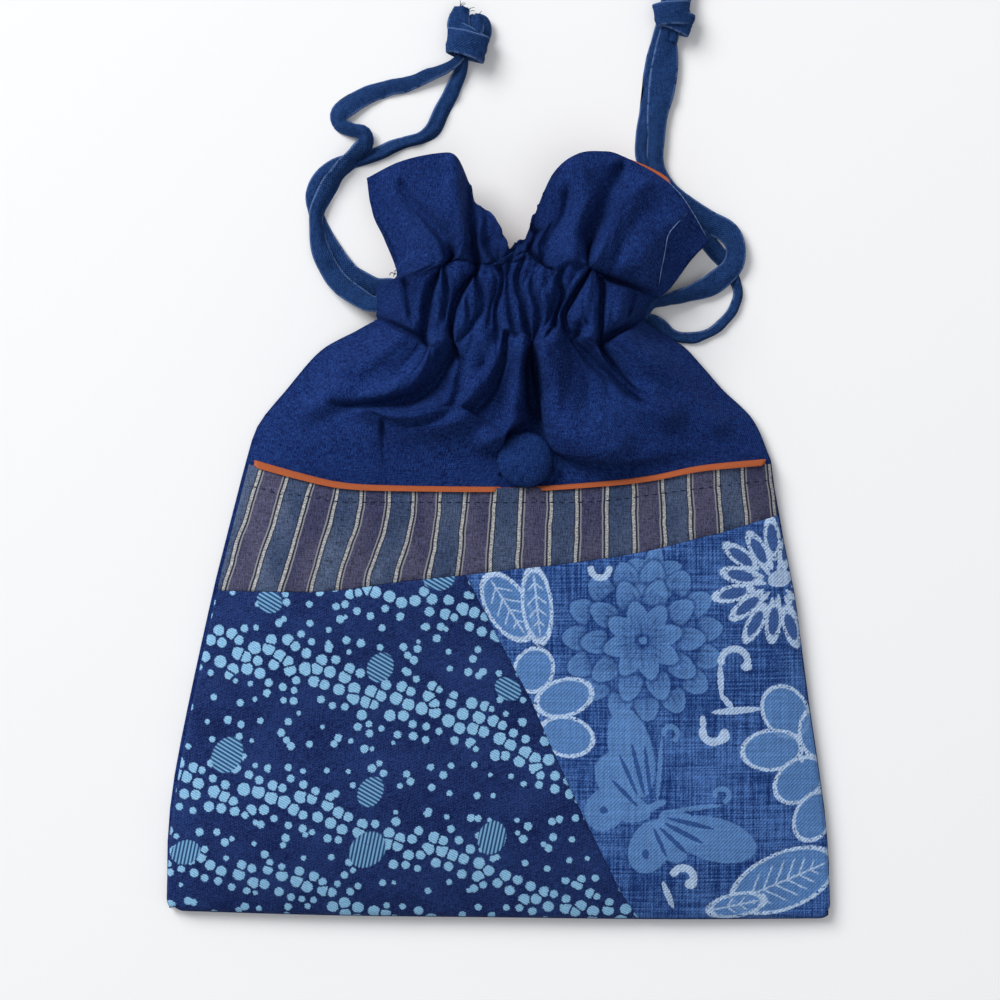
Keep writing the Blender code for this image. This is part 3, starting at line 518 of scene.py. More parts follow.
def threads(name, routes, radius, material):
    """Thin round threads along routes in millimetres."""
    mesh = bmesh.new()
    cut_layer = mesh.verts.layers.float_vector.new("cut")
    for route in routes:
        track = smooth([(x * MM, y * MM, z * MM) for x, y, z in route], np.linspace(0, 1, THREAD_RINGS))
        ahead = np.gradient(track, axis=0)
        side = np.cross(ahead, [0.0, 0.0, 1.0]) + [1e-9, 0, 0]
        side /= np.linalg.norm(side, axis=1)[:, None]
        over = np.cross(side, ahead)
        over /= np.linalg.norm(over, axis=1)[:, None]
        last = THREAD_RINGS - 1
        verts = bmesh.ops.create_grid(mesh, x_segments=6, y_segments=last, size=0.5)["verts"]
        for vert in verts:
            ring = round((vert.co.y + 0.5) * last)
            angle = math.tau * (vert.co.x + 0.5)
            slim = radius * min(1.0, 0.25 + (last - ring) * 0.4, 0.25 + ring * 0.4)
            out = side[ring] * math.cos(angle) + over[ring] * math.sin(angle)
            vert.co = Vector(track[ring] + slim * out)
            vert[cut_layer] = (vert.co.x, vert.co.y, 0)
        bmesh.ops.remove_doubles(mesh, verts=verts, dist=1e-8)
    bmesh.ops.holes_fill(mesh, edges=[edge for edge in mesh.edges if edge.is_boundary], sides=0)
    return finished(name, mesh_data(name, mesh), material)


random.seed(3)
frays = []
for x, y, degrees, count in ((-12.4, 173.4, 75, 7), (-13.8, 171.0, 130, 4), (-10.4, 172.4, 40, 5),
                             (-7.0, 170.2, 20, 5), (-15.4, 168.2, 170, 3)):
    for _ in range(count):
        turn = math.radians(degrees + random.uniform(-35, 35))
        reach = random.uniform(0.8, 2.2)
        a, b = x + random.uniform(-0.8, 0.8), y + random.uniform(-0.6, 0.6)
        bend = random.uniform(-0.5, 0.5)
        frays.append(((a, b, 5.0), (a + reach * 0.5 * math.cos(turn) - bend * math.sin(turn),
                                    b + reach * 0.5 * math.sin(turn) + bend * math.cos(turn), 5.2),
                      (a + reach * math.cos(turn), b + reach * math.sin(turn), 4.8)))
threads("knot_frays", frays, 0.09 * MM, navy_thread)


# The front panel: one cut of navy linen, gathered by the ties between two rows of stitches. It swells
# into two billows below them and falls into two lobes at the mouth. It is laid out by stations along the
# cloth: 0 at the foot, 1 at the hip, 2 and 3 at the channel's stitches and 4 at the mouth.
CUT_WIDTH = 0.212
CUT_ALONG = (0.0, 0.144, 0.204, 0.232, 0.274)
LEFT_SIDE = (
    ((-109.4, -123.3), (-108.2, -97.2), (-103.5, -67.5), (-93.6, -21.3), (-87.9, 1.8), (-82.0, 24.9)),
    ((-82.0, 24.9), (-78.0, 36.5), (-68.8, 48.0), (-58.9, 59.6), (-50.7, 65.2), (-39.8, 70.5)),
    ((-39.8, 70.5), (-40.4, 76.7), (-39.8, 82.0)),
    ((-39.8, 82.0), (-33.5, 85.4), (-37.6, 97.5), (-41.4, 105.8), (-43.1, 117.0)),
)
RIGHT_SIDE = (
    ((109.4, -125.9), (107.7, -93.9), (101.1, -47.7), (97.8, -21.3), (92.2, 6.8), (89.6, 24.9)),
    ((89.6, 24.9), (83.7, 38.1), (73.8, 48.0), (66.5, 56.3), (59.9, 62.9), (49.3, 67.8)),
    ((49.3, 67.8), (48.7, 73.8), (50.0, 78.7)),
    ((50.0, 78.7), (55.6, 80.4), (63.2, 90.3), (68.8, 96.2)),
)
STATION_ROWS = (
    ((-109.4, -123.3), (-55.6, -124.9), (0.5, -125.6), (56.6, -126.2), (109.4, -125.9)),
    ((-82.0, 24.9), (-65.5, 20.3), (-50.7, 17.0), (-32.5, 16.0), (7.1, 15.7), (33.5, 17.3),
     (50.0, 19.3), (66.5, 22.6), (89.6, 24.9)),
    ((-39.8, 70.5), (-25.6, 63.9), (-9.4, 61.2), (10.4, 60.6), (33.2, 63.9), (49.3, 67.8)),
    ((-39.8, 82.0), (-19.6, 86.3), (0.5, 87.6), (20.3, 87.3), (36.8, 85.0), (50.0, 78.7)),
    ((-42.6, 116.4), (-32.2, 121.0), (-19.3, 123.6), (-13.4, 122.6), (-9.4, 114.6), (-8.0, 108.2),
     (-3.4, 105.2), (0.4, 99.4), (2.6, 95.0), (4.0, 92.4), (5.6, 94.6), (9.8, 97.4), (12.0, 104.6),
     (17.8, 117.4), (25.4, 123.4), (32.6, 124.4), (39.4, 123.2), (54.0, 115.4), (63.0, 105.4),
     (68.6, 96.2)),
)
# sharp creases: how deep each is, and its line with the width beside it
FOLDS = (
    (0.85, ((-19.6, 90.5, 0.5), (-21.0, 84.5, 1.8), (-22.9, 77.2, 2.0), (-24.6, 66.8, 2.2),
           (-25.0, 61.5, 2.0))),
    (0.75, ((-40.5, 71.5, 1.6), (-33.0, 67.6, 2.4), (-25.2, 62.6, 1.8))),
    (0.6, ((-31.5, 85.0, 0.6), (-30.0, 78.0, 2.6), (-29.0, 70.0, 0.6))),
    (1.0, ((-7.6, 85.6, 0.8), (-11.4, 78.1, 2.0), (-14.6, 69.0, 2.2), (-12.8, 60.9, 2.0),
           (-10.4, 54.5, 0.6))),
    (0.7, ((-16.0, 87.0, 0.5), (-17.0, 77.0, 1.7), (-18.8, 69.0, 0.6))),
    (0.85, ((-14.2, 62.0, 2.2), (-19.0, 52.0, 3.6), (-29.0, 45.0, 4.6), (-41.0, 42.4, 4.0),
           (-54.0, 43.0, 0.9))),
    (0.85, ((-5.6, 91.0, 0.5), (-6.4, 82.0, 1.2), (-4.6, 74.1, 1.4), (-8.3, 65.8, 1.1), (-9.0, 61.0, 0.4))),
    (0.8, ((-9.6, 78.0, 0.4), (-8.4, 73.0, 1.2), (-7.6, 67.0, 0.4))),
    (0.9, ((0.6, 92.0, 0.6), (1.4, 83.0, 1.2), (0.2, 74.1, 1.4), (-1.0, 66.0, 1.2), (-2.0, 60.0, 0.4))),
    (0.9, ((-2.0, 88.0, 0.4), (-1.6, 80.0, 1.1), (-2.4, 72.0, 1.1), (-4.0, 66.0, 0.4))),
    (0.85, ((4.8, 94.0, 0.7), (3.6, 84.0, 1.2), (3.9, 74.0, 1.2), (5.0, 67.0, 1.1), (5.4, 61.0, 0.4))),
    (0.9, ((7.6, 92.0, 0.6), (6.8, 83.0, 1.3), (8.4, 71.8, 1.4), (10.8, 62.2, 1.7))),
    (0.8, ((10.6, 86.4, 0.5), (11.0, 79.0, 1.2), (12.6, 71.8, 1.3), (13.2, 61.9, 1.2))),
    (0.8, ((17.4, 80.4, 0.4), (16.2, 76.4, 1.3), (15.4, 72.0, 1.3), (14.4, 68.0, 0.4))),
    (0.95, ((20.6, 88.0, 0.5), (18.4, 82.0, 1.4), (19.4, 77.1, 1.5), (17.6, 69.8, 1.5), (16.0, 62.0, 0.5))),
    (0.95, ((28.3, 88.6, 1.2), (25.6, 80.1, 1.8), (23.0, 73.8, 1.9), (21.6, 67.8, 1.9), (24.8, 60.9, 2.1),
            (30.6, 54.0, 2.6), (42.4, 45.6, 2.0), (50.0, 41.6, 0.4))),
    (0.8, ((27.0, 70.0, 0.4), (25.4, 66.0, 1.6), (23.4, 63.0, 1.4), (22.0, 61.0, 0.5))),
    (0.9, ((32.2, 86.7, 1.4), (33.4, 77.4, 1.8), (32.6, 69.8, 1.8), (33.6, 62.9, 1.9), (40.5, 54.0, 2.3),
           (47.0, 47.0, 1.2), (51.0, 43.5, 0.4))),
    (1.0, ((49.6, 72.9, 2.0), (41.5, 67.6, 2.6), (33.2, 62.7, 2.0))),
    (0.6, ((44.0, 80.5, 0.4), (42.5, 76.0, 2.0), (40.0, 70.0, 0.5))),
    (1.0, ((10.6, 63.0, 1.6), (10.6, 55.0, 2.8), (11.2, 46.8, 4.0), (11.6, 38.0, 5.6), (10.6, 30.0, 8.0))),
    (0.5, ((-11.2, 53.1, 0.6), (-14.0, 44.0, 2.2), (-20.5, 36.4, 3.0), (-30.0, 32.4, 3.2),
           (-38.5, 34.5, 2.4), (-43.5, 40.5, 0.6))),
    (0.8, ((-38.5, 35.0, 0.6), (-38.8, 29.0, 2.8), (-37.6, 21.0, 2.8))),
    (0.8, ((16.0, 46.0, 0.6), (18.0, 37.0, 3.2), (21.6, 28.0, 4.2), (28.5, 22.6, 3.8), (41.0, 21.6, 2.4),
           (52.0, 23.2, 0.5))),
    (0.8, ((2.3, 65.5, 1.6), (0.2, 55.6, 2.4), (-4.0, 45.4, 3.0), (-9.4, 38.5, 3.4))),
    (0.6, ((-32.2, 116.4, 0.8), (-29.0, 109.0, 3.4), (-23.6, 103.0, 4.6), (-17.4, 94.9, 3.8),
           (-16.7, 88.6, 2.4))),
    (0.9, ((-17.2, 95.0, 0.6), (-15.4, 90.4, 1.8), (-18.6, 86.6, 1.8))),
    (1.0, ((-10.6, 123.6, 2.0), (-9.0, 107.8, 2.2), (-6.8, 88.0, 2.0), (-7.4, 83.6, 1.5))),
    (0.7, ((-4.1, 106.0, 1.8), (-1.9, 96.0, 2.4), (1.0, 84.0, 1.8))),
    (0.95, ((10.6, 99.0, 1.8), (9.6, 92.6, 2.2), (14.4, 87.0, 1.6), (17.4, 84.6, 0.6))),
    (0.6, ((21.0, 114.0, 0.8), (18.0, 104.0, 3.4), (16.0, 95.5, 3.4), (14.6, 87.6, 2.0))),
    (0.75, ((40.0, 121.0, 0.8), (36.6, 112.0, 5.5), (33.0, 104.0, 5.8), (30.2, 96.5, 4.4),
           (28.3, 88.6, 2.4))),
    (0.9, ((31.4, 97.0, 0.6), (29.6, 92.5, 1.7), (27.4, 87.6, 1.8))),
    (1.0, ((50.6, 80.2, 0.9), (45.0, 81.2, 1.8), (39.0, 82.8, 2.4), (33.4, 84.9, 2.4))),
)
# round folds: how high each stands, and its line with the width beside it
RIDGES = (
    (8.5, ((2.8, 66.5, 3.4), (-0.6, 54.6, 5.5), (-9.3, 42.7, 8.5), (-21.0, 36.0, 10.0), (-33.2, 36.5, 9.0),
           (-43.0, 39.8, 7.0))),
    (5.5, ((-20.2, 63.2, 4.4), (-27.5, 54.6, 6.0), (-38.1, 48.7, 6.5), (-52.0, 46.0, 7.0),
           (-62.0, 42.0, 7.0))),
    (3.5, ((-30.2, 66.2, 5.0), (-43.5, 58.6, 7.5), (-57.0, 50.0, 8.0))),
    (7.0, ((6.2, 63.5, 2.2), (6.0, 54.0, 3.4), (4.6, 44.0, 4.6), (0.0, 34.0, 6.0), (-9.0, 27.0, 7.0))),
    (9.0, ((17.0, 66.5, 3.2), (17.6, 57.6, 4.6), (21.4, 46.0, 6.4), (27.0, 36.8, 8.5), (38.0, 28.0, 10.0))),
    (5.0, ((28.2, 65.5, 3.0), (34.1, 57.0, 4.2), (42.6, 48.4, 6.0), (55.0, 40.0, 8.0))),
    (4.0, ((40.2, 66.5, 4.0), (50.6, 57.0, 6.0), (61.6, 48.4, 8.0), (72.0, 38.0, 8.0))),
    (4.0, ((46.0, 112.1, 8.0), (40.8, 99.5, 6.5), (34.0, 89.0, 3.2))),
    (2.5, ((59.0, 102.1, 8.0), (52.8, 94.5, 7.0), (43.5, 89.0, 4.0))),
    (3.5, ((25.0, 118.1, 7.0), (24.4, 103.5, 5.5), (22.5, 89.0, 3.2))),
    (2.0, ((-14.5, 121.0, 5.0), (-12.6, 104.5, 4.2), (-12.2, 90.0, 3.0))),
    (3.0, ((-27.0, 104.0, 2.5), (-22.4, 96.0, 3.2), (-19.4, 88.0, 3.0))),
    (2.0, ((-38.5, 114.0, 7.0), (-34.0, 100.5, 7.0), (-28.5, 88.0, 5.0))),
)
BUTTON_PLACE = (8.6, 24.8)
# the deep fold above the button
GAP = ((11.0, 60.0, 2.0), (11.8, 52.0, 3.8), (13.4, 42.8, 6.0), (14.0, 34.0, 8.5))
FOOT = 125.0 * MM
FOOT_CORNERS = ((-109.4 * MM, 1, 6 * MM), (109.4 * MM, -1, 4 * MM))
PANEL_CLOTH = 0.7 * MM
SEAM_HEIGHT = 3.0 * MM
BODY_HEIGHT = 12.5 * MM
HIP_HEIGHT = 14.5 * MM
CHANNEL_EDGE = 9.1 * MM
CHANNEL_MIDDLE = 14.8 * MM
FLARE_EDGE = 6.9 * MM
BACK_GATHER = 2.0 * MM
NECK_GATHER = 10.5 * MM
BILLOW = 7.0 * MM
LOBE = 7.0 * MM
PINCH = 0.95
GAP_DEPTH = 8.5 * MM
LOBE_LIFT = 3.9 * MM

FINE = np.linspace(0, 1, 401)
ROW_LINES = [smooth([(x * MM, y * MM, 0) for x, y in row], FINE) for row in STATION_ROWS]
LEFT_LINES = [smooth([(x * MM, y * MM, 0) for x, y in side], FINE) for side in LEFT_SIDE]
RIGHT_LINES = [smooth([(x * MM, y * MM, 0) for x, y in side], FINE) for side in RIGHT_SIDE]


def ease(value):
    """0 below 0, 1 above 1, smooth between."""
    value = np.clip(value, 0, 1)
    return value * value * (3 - 2 * value)


def table(value, *pairs):
    """Smoothly joined values at the given places."""
    result = np.full(np.shape(value), float(pairs[0][1]))
    for (a, low), (b, high) in zip(pairs, pairs[1:]):
        result = np.where(value >= a, low + (high - low) * ease((value - a) / (b - a)), result)
    return result


def plan(across, along):
    """Places in plan of points of the cloth, from side seam to side seam and from bottom to mouth."""
    across, along = np.broadcast_arrays(np.asarray(across, float), np.asarray(along, float))
    result = np.zeros((*across.shape, 2))
    station = np.minimum(along.astype(int), 3)
    for index in range(4):
        here = station == index
        s, w = across[here], along[here] - index
        for axis in range(2):
            low = np.interp(s, FINE, ROW_LINES[index][:, axis])
            high = np.interp(s, FINE, ROW_LINES[index + 1][:, axis])
            left_ends = ROW_LINES[index][0, axis], ROW_LINES[index + 1][0, axis]
            right_ends = ROW_LINES[index][-1, axis], ROW_LINES[index + 1][-1, axis]
            left = np.interp(w, FINE, LEFT_LINES[index][:, axis])
            left = left - left_ends[0] * (1 - w) - left_ends[1] * w
            right = np.interp(w, FINE, RIGHT_LINES[index][:, axis])
            right = right - right_ends[0] * (1 - w) - right_ends[1] * w
            result[here, axis] = low * (1 - w) + high * w + left * (1 - s) ** 3 + right * s ** 3
    x, y = result[..., 0], result[..., 1]
    for corner_x, side, radius in FOOT_CORNERS:
        u, v = 1 - (x - corner_x) * side / radius, 1 - (y + FOOT) / radius
        near = (u > 0) & (v > 0)
        shrink = np.where(near, np.maximum(u, v) / np.maximum(np.hypot(u, v), 1e-9), 1)
        x = np.where(near, corner_x + side * radius * (1 - u * shrink), x)
        y = np.where(near, radius * (1 - v * shrink) - FOOT, y)
    return x, y


def crown(across):
    """Rise of the stuffed shape from 0 at the side seams to 1 in the middle."""
    return 1 - np.abs(2 * across - 1) ** 4


def nearest(x, y, line):
    """Distance to a fold's smoothed line, the way to it, and the fold's width beside it."""
    line = smooth([(a * MM, b * MM, c * MM) for a, b, c in line], np.linspace(0, 1, 15))
    best = np.full(np.shape(x), 1.0)
    way_x, way_y, width = (np.zeros(np.shape(x)) for _ in range(3))
    for (x0, y0, w0), (x1, y1, w1) in zip(line, line[1:]):
        dx, dy = x1 - x0, y1 - y0
        share = np.clip(((x - x0) * dx + (y - y0) * dy) / (dx * dx + dy * dy), 0, 1)
        gap_x, gap_y = x0 + share * dx - x, y0 + share * dy - y
        away = np.hypot(gap_x, gap_y)
        closer = away < best
        best, way_x, way_y, width = (np.where(closer, new, old) for new, old in (
            (away, best), (gap_x, way_x), (gap_y, way_y), (w0 + (w1 - w0) * share, width)))
    return best, way_x / (best + 1e-9), way_y / (best + 1e-9), width


def folded(x, y):
    """Share of the gathers that the creases leave standing, and how far each place is pulled over
    the creases beside it, so that their sides close up."""
    left = np.ones(np.shape(x))
    pull_x, pull_y = np.zeros(np.shape(x)), np.zeros(np.shape(x))
    for depth, line in FOLDS:
        away, way_x, way_y, width = nearest(x, y, line)
        reach = away / width
        deep = depth * ease(width / (1.9 * MM)) ** 1.2
        left *= 1 - deep * np.exp(-reach ** 1.4)
        pull = PINCH * deep * width * reach ** 2 * np.exp(2 - reach) / 4
        pull_x += pull * way_x
        pull_y += pull * way_y
    return left, pull_x, pull_y


def ridges(x, y):
    """Height of the round folds that run out of the gathers."""
    height = np.zeros(np.shape(x))
    for rise, line in RIDGES:
        away, _, _, width = nearest(x, y, line)
        height += rise * MM * np.cos(np.minimum(away / width, 1) * math.pi / 2) ** 2
    return height


def front_floor(across, along):
    """Height of the front panel where it is not gathered up."""
    edge = table(along, (0.0, SEAM_HEIGHT), (1.86, SEAM_HEIGHT), (2.0, CHANNEL_EDGE),
                 (3.0, CHANNEL_EDGE), (4.0, FLARE_EDGE))
    roll = 1 - (1 - np.minimum(along / 0.35, 1.0)) ** 3
    body = SEAM_HEIGHT + (BODY_HEIGHT - SEAM_HEIGHT) * roll
    body = body + (HIP_HEIGHT - BODY_HEIGHT) * ease((along - 0.4) / 0.6)
    body = body + (CHANNEL_MIDDLE - HIP_HEIGHT) * ease(along - 1)
    neck = CHANNEL_MIDDLE - 1 * MM * ease(along - 3)
    middle = np.where(along < 2, body, neck)
    return edge + (middle - edge) * crown(across)


def notch(across):
    """1 where the mouth is drawn down between the two lobes."""
    return table(across, (0.27, 0.0), (0.34, 1.0), (0.46, 1.0), (0.53, 0.0))


def gather_height(across, along):
    """Height of the gathers, billows and lobes above the front's floor."""
    billow = BILLOW * table(across, (0.04, 0.0), (0.3, 1.0), (0.46, 0.8), (0.56, 0.7), (0.72, 1.0),
                            (0.96, 0.0))
    neck = NECK_GATHER * table(across, (0.0, 0.15), (0.12, 0.9), (0.88, 0.9), (1.0, 0.1))
    lobe = LOBE * table(across, (0.0, 0.25), (0.12, 0.9), (0.24, 1.0), (0.31, 0.6), (0.38, 0.5),
                        (0.45, 0.05), (0.52, 0.7), (0.66, 1.0), (0.86, 0.6), (1.0, 0.1))
    low_left = table(along, (1.02, 0.0), (1.1, 0.14), (1.34, 0.92), (1.6, 1.0), (2.0, 0.0))
    low_right = table(along, (1.03, 0.0), (1.14, 0.7), (1.42, 1.0), (2.0, 0.0))
    lower = low_left + (low_right - low_left) * ease((across - 0.44) / 0.08)
    middle = table(along, (1.5, 0.0), (2.0, 0.85), (2.5, 1.0), (3.0, 0.95), (3.8, 0.15))
    middle = np.maximum(middle, notch(across) * table(along, (2.9, 0.0), (3.0, 0.9), (4.0, 0.62)))
    upper = table(along, (2.9, 0.0), (3.5, 1.0), (4.0, 0.75))
    return billow * lower + neck * middle + lobe * upper


def ripple(across, along):
    """Small gathers that fan out from the neck, round on top and sharp between, from -1 to 1."""
    wander = 1.3 * np.sin(along * 2.3 + across * 5) + 0.7 * np.sin(along * 5.1 + across * 23)
    fine = np.abs(np.sin(across * 62 + wander)) ** 0.6
    finer = np.abs(np.sin(across * 97 - wander + 1.7)) ** 0.6
    return 1.1 * fine + 0.9 * finer - 1.2


def front_face(across, along):
    """Places of the front panel's face."""
    x, y = plan(across, along)
    left, pull_x, pull_y = folded(x, y)
    fan = table(along, (1.2, 0.0), (1.75, 0.8), (2.0, 1.0), (3.0, 1.0), (3.3, 0.6), (4.0, 0.15))
    fan = np.maximum(fan, notch(across) * ease(along - 2))
    fan = fan * table(across, (0.0, 0.0), (0.12, 0.2), (0.24, 1.0), (0.8, 1.0), (0.9, 0.3), (1.0, 0.0))
    gathers = gather_height(across, along) + 1.8 * MM * fan * ripple(across, along)
    inside = ease(np.minimum(across, 1 - across) / 0.1) * ease((along - 1.02) / 0.2)
    gathers = gathers + ridges(x, y) * inside
    clear = ease((np.hypot(x - BUTTON_PLACE[0] * MM, y - BUTTON_PLACE[1] * MM) / MM - 9.4) / 4.5)
    away, _, _, width = nearest(x, y, GAP)
    sunk = GAP_DEPTH * np.exp(-(away / width) ** 2) * ease((y - 30 * MM) / (12 * MM))
    sunk = sunk * ease((62 * MM - y) / (9 * MM))
    held = table(along, (0.98, 0.0), (1.12, 1.0), (3.5, 1.0), (4.0, 0.0))
    z = front_floor(across, along) + gathers * left * clear - sunk
    return x + pull_x * held * clear, y + pull_y * held * clear, z


def point_places(data):
    """Places of a mesh's points, one row for each."""
    places = np.zeros(len(data.vertices) * 3)
    data.vertices.foreach_get("co", places)
    return places.reshape(-1, 3)


def cloth_grid(name, columns, rows, place, face, flat=None):
    """Sheet of cloth on a grid. place turns columns and rows into shares of the cloth's width and
    stations along it, and face gives their places. flat gives their places on the cut cloth."""
    mesh = bmesh.new()
    bmesh.ops.create_grid(mesh, x_segments=len(columns) - 1, y_segments=len(rows) - 1, size=0.5)
    data = mesh_data(name, mesh)
    grid = point_places(data)
    column = np.array(columns)[np.rint((grid[:, 0] + 0.5) * (len(columns) - 1)).astype(int)]
    row = np.array(rows)[np.rint((grid[:, 1] + 0.5) * (len(rows) - 1)).astype(int)]
    across, along = place(column, row)
    data.vertices.foreach_set("co", np.column_stack(face(across, along)).ravel())
    if flat is None:
        keep_cut(data, (across - 0.5) * CUT_WIDTH, np.interp(along, range(5), CUT_ALONG))
    else:
        keep_cut(data, *flat(across, along))
    data.update()
    return data


def as_is(column, row):
    return column, row


def thicken(piece, thickness, offset=-1.0):
    """Gives a sheet its cloth's thickness, below the modelled face."""
    wall = piece.modifiers.new("cloth", "SOLIDIFY")
    wall.thickness = thickness
    wall.offset = offset
    wall.use_rim = True


columns = np.linspace(0, 1, 231)
rows = np.concatenate([np.linspace(0, 0.94, 9), np.linspace(0.96, 2, 84), np.linspace(2, 3, 50)[1:],
                       np.linspace(3, 4, 66)[1:]])
front_navy = navy_linen("front_navy_linen", (0.0025, 0.0075, 0.068), (0.021, 0.065, 0.262))
front_data = cloth_grid("front_cloth", columns, rows, as_is, front_face)
front = finished("front_cloth", front_data, front_navy, "front_panel")
thicken(front, PANEL_CLOTH)


# The back panel is a second cut of the same linen, flat on the table and puckered at the neck. Its
# mouth lies under the front's lobes, over the right tie.
def back_face(across, along):
    phase = across * 13 + 0.25 * np.sin(across * 17)
    away = ease(np.minimum(across, 1 - across) / 0.1)
    pucker = BACK_GATHER * (0.5 - 0.5 * np.cos(2 * math.pi * phase)) * away
    pucker = pucker * table(along, (1.45, 0.0), (2.0, 1.0), (3.0, 1.0), (3.6, 0.15))
    lift = LOBE_LIFT * ease((across - 0.5) / 0.2) * ease((along - 3.05) / 0.35)
    x, y = plan(across, along)
    x = x - 1.2 * MM * (1 - across) ** 14 * ease(along / 0.3) * ease((2.0 - along) / 0.3)
    return x, y, pucker * (1 - lift / LOBE_LIFT) + lift + PANEL_CLOTH


back_rows = np.concatenate([np.linspace(0, 1.4, 20), np.linspace(1.4, 4, 90)[1:]])
back_data = cloth_grid("back_cloth", np.linspace(0, 1, 131), back_rows, as_is, back_face)
back = finished("back_cloth", back_data, front_navy, "back_panel")
thicken(back, PANEL_CLOTH)

# The orange cotton linings hang inside the panels and are sewn to them round the mouth, where a thin
# line of them shows on the right lobe.
LINING_CLOTH = 0.35 * MM
orange = Look("orange_cotton", 0.85)
across, along = orange.cut()
weave, slub = plain_weave(orange, across, along, 0.4)
orange_cotton = orange.finish(orange.mix(slub * 1.6 + 0.5, (0.47, 0.095, 0.03), (0.76, 0.22, 0.09)), weave,
                              0.00015)


def front_lining_face(across, along):
    """Under the front's face, and under the ties where these run between the two."""
    shown = table(across, (0.64, 0.0), (0.70, 0.9), (0.85, 1.0), (0.93, 0.0)) * ease((along - 3.8) / 0.1)
    top = table(across, (0.42, 3.7), (0.48, 3.5), (0.58, 3.5), (0.66, 3.7)) + 0.26 * shown
    along = np.minimum(along, top)
    x, y = plan(across, along)
    x = x + shown * 1.4 * MM
    y = y + shown * 2.4 * MM
    drop = table(along, (0.9, 1.2 * MM), (1.2, 4.5 * MM), (3.2, 4.5 * MM), (3.9, 2.6 * MM), (4.0, 1.8 * MM))
    away, _, _, width = nearest(x, y, GAP)
    drop = drop + GAP_DEPTH * np.exp(-(away / width) ** 2) * ease((y - 30 * MM) / (12 * MM))
    drop = drop + 5.0 * MM * table(along, (1.1, 0.0), (1.4, 1.0), (1.85, 1.0), (2.1, 0.0)) * crown(across)
    z = front_floor(across, along) + gather_height(across, along) * shown * 0.9 - drop
    return x, y, np.maximum(z, PANEL_CLOTH + 0.3 * MM)


def back_lining_face(across, along):
    along = np.minimum(along, 3.70)
    x, y, z = back_face(across, along)
    pleat = 0.8 * MM * np.abs(np.sin(across * 90))
    pleat = pleat * table(along, (1.6, 0.0), (1.95, 1.0), (3.0, 1.0), (3.5, 0.0))
    rise = table(along, (1.7, 0.1 * MM), (1.95, 1.9 * MM), (3.1, 1.9 * MM), (3.4, 0.1 * MM))
    return x, y, np.maximum(z + LINING_CLOTH + rise - pleat, PANEL_CLOTH + 0.1 * MM)


lining_rows = np.concatenate([np.linspace(0.02, 1.4, 16), np.linspace(1.4, 3.9, 60)[1:], [3.93, 3.96]])
for name, face, node in (("front_lining", front_lining_face, "lining_front"),
                         ("back_lining", back_lining_face, "lining_back")):
    data = cloth_grid(name, np.linspace(0.02, 0.98, 101), lining_rows, as_is, face)
    lining = finished(name, data, orange_cotton, node)

# Loose threads: a pale one on the right lobe and one along its edge, and short frayed ones where the left
# lobe joins the channel.
lobe_x, lobe_y, lobe_z = front_face(*np.meshgrid(np.linspace(0.02, 0.99, 240), np.linspace(2.9, 3.98, 80)))


def lobe_height(x, y):
    """Height of the front's face at a place in plan, in millimetres."""
    return float(lobe_z.flat[np.argmin((lobe_x / MM - x) ** 2 + (lobe_y / MM - y) ** 2)]) / MM


LOBE_THREADS = (
    ("loose_thread", ((61.2, 104.8), (57.4, 100.8), (55.0, 97.5), (54.0, 91.8), (52.8, 86.0),
                      (52.3, 81.7))),
    ("edge_thread", ((54.0, 115.9), (59.4, 110.5), (64.2, 103.8), (68.2, 97.4))),
)
THREAD_RADIUS = 0.13 * MM
for name, route in LOBE_THREADS:
    threads(name, [[(x, y, lobe_height(x, y) + 0.22) for x, y in route]], THREAD_RADIUS, pale_thread)
random.seed(5)
frays = []
for _ in range(6):
    x, y = -33.0 + random.uniform(-0.9, 0.9), 86.2 + random.uniform(-1.4, 1.6)
    turn = random.uniform(2.3, 4.0)
    reach = random.uniform(0.9, 2.0)
    frays.append([(x, y, 7.6),
                  (x + reach * 0.6 * math.cos(turn), y + reach * 0.6 * math.sin(turn) + 0.3, 8.2),
                  (x + reach * math.cos(turn + 0.5), y + reach * math.sin(turn + 0.5), 7.8)])
threads("lobe_frays", frays, THREAD_RADIUS, navy_thread)

# The patchwork pocket: a striped band over a dotted and a flowered patch, sewn edge to edge, and an
# orange lining behind them that is turned over their top edge, except beside the button.
SEAT = 0.42 * MM
PATCH_CLOTH = 0.6 * MM
POCKET_WIDTH = 195 * MM
POCKET_HEIGHT = 141 * MM
RIM = 1.8 / 141.3
RIM_RISE = 0.6 * MM
RIM_GAP = (0.474, 0.559)
BAND_SEAM = ((0.0, 0.707), (0.15, 0.742), (0.32, 0.782), (0.52, 0.813), (0.68, 0.829),
             (0.88, 0.85), (1.0, 0.88))
SLANT_SEAM = ((0.0, 0.712), (0.08, 0.683), (0.29, 0.628), (0.63, 0.544), (1.0, 0.428))


def through(value, pairs):
    """Values at the given places, joined by straight lines."""
    return np.interp(value, [pair[0] for pair in pairs], [pair[1] for pair in pairs])


def rim_share(across):
    """1 where the orange rim shows, 0 where the stripes reach the edge."""
    return 1 - table(across, (RIM_GAP[0] - 0.004, 0.0), (RIM_GAP[0] + 0.004, 1.0),
                     (RIM_GAP[1] - 0.004, 1.0), (RIM_GAP[1] + 0.004, 0.0))


def band_place(column, row):
    low = through(column, BAND_SEAM)
    return column, low + (1 - 0.7 * RIM * rim_share(column) - low) * row


def dots_place(column, row):
    across = column * through(row, SLANT_SEAM)
    return across, row * through(across, BAND_SEAM)


def flowers_place(column, row):
    low = through(row, SLANT_SEAM)
    across = low + (1 - low) * column
    return across, row * through(across, BAND_SEAM)


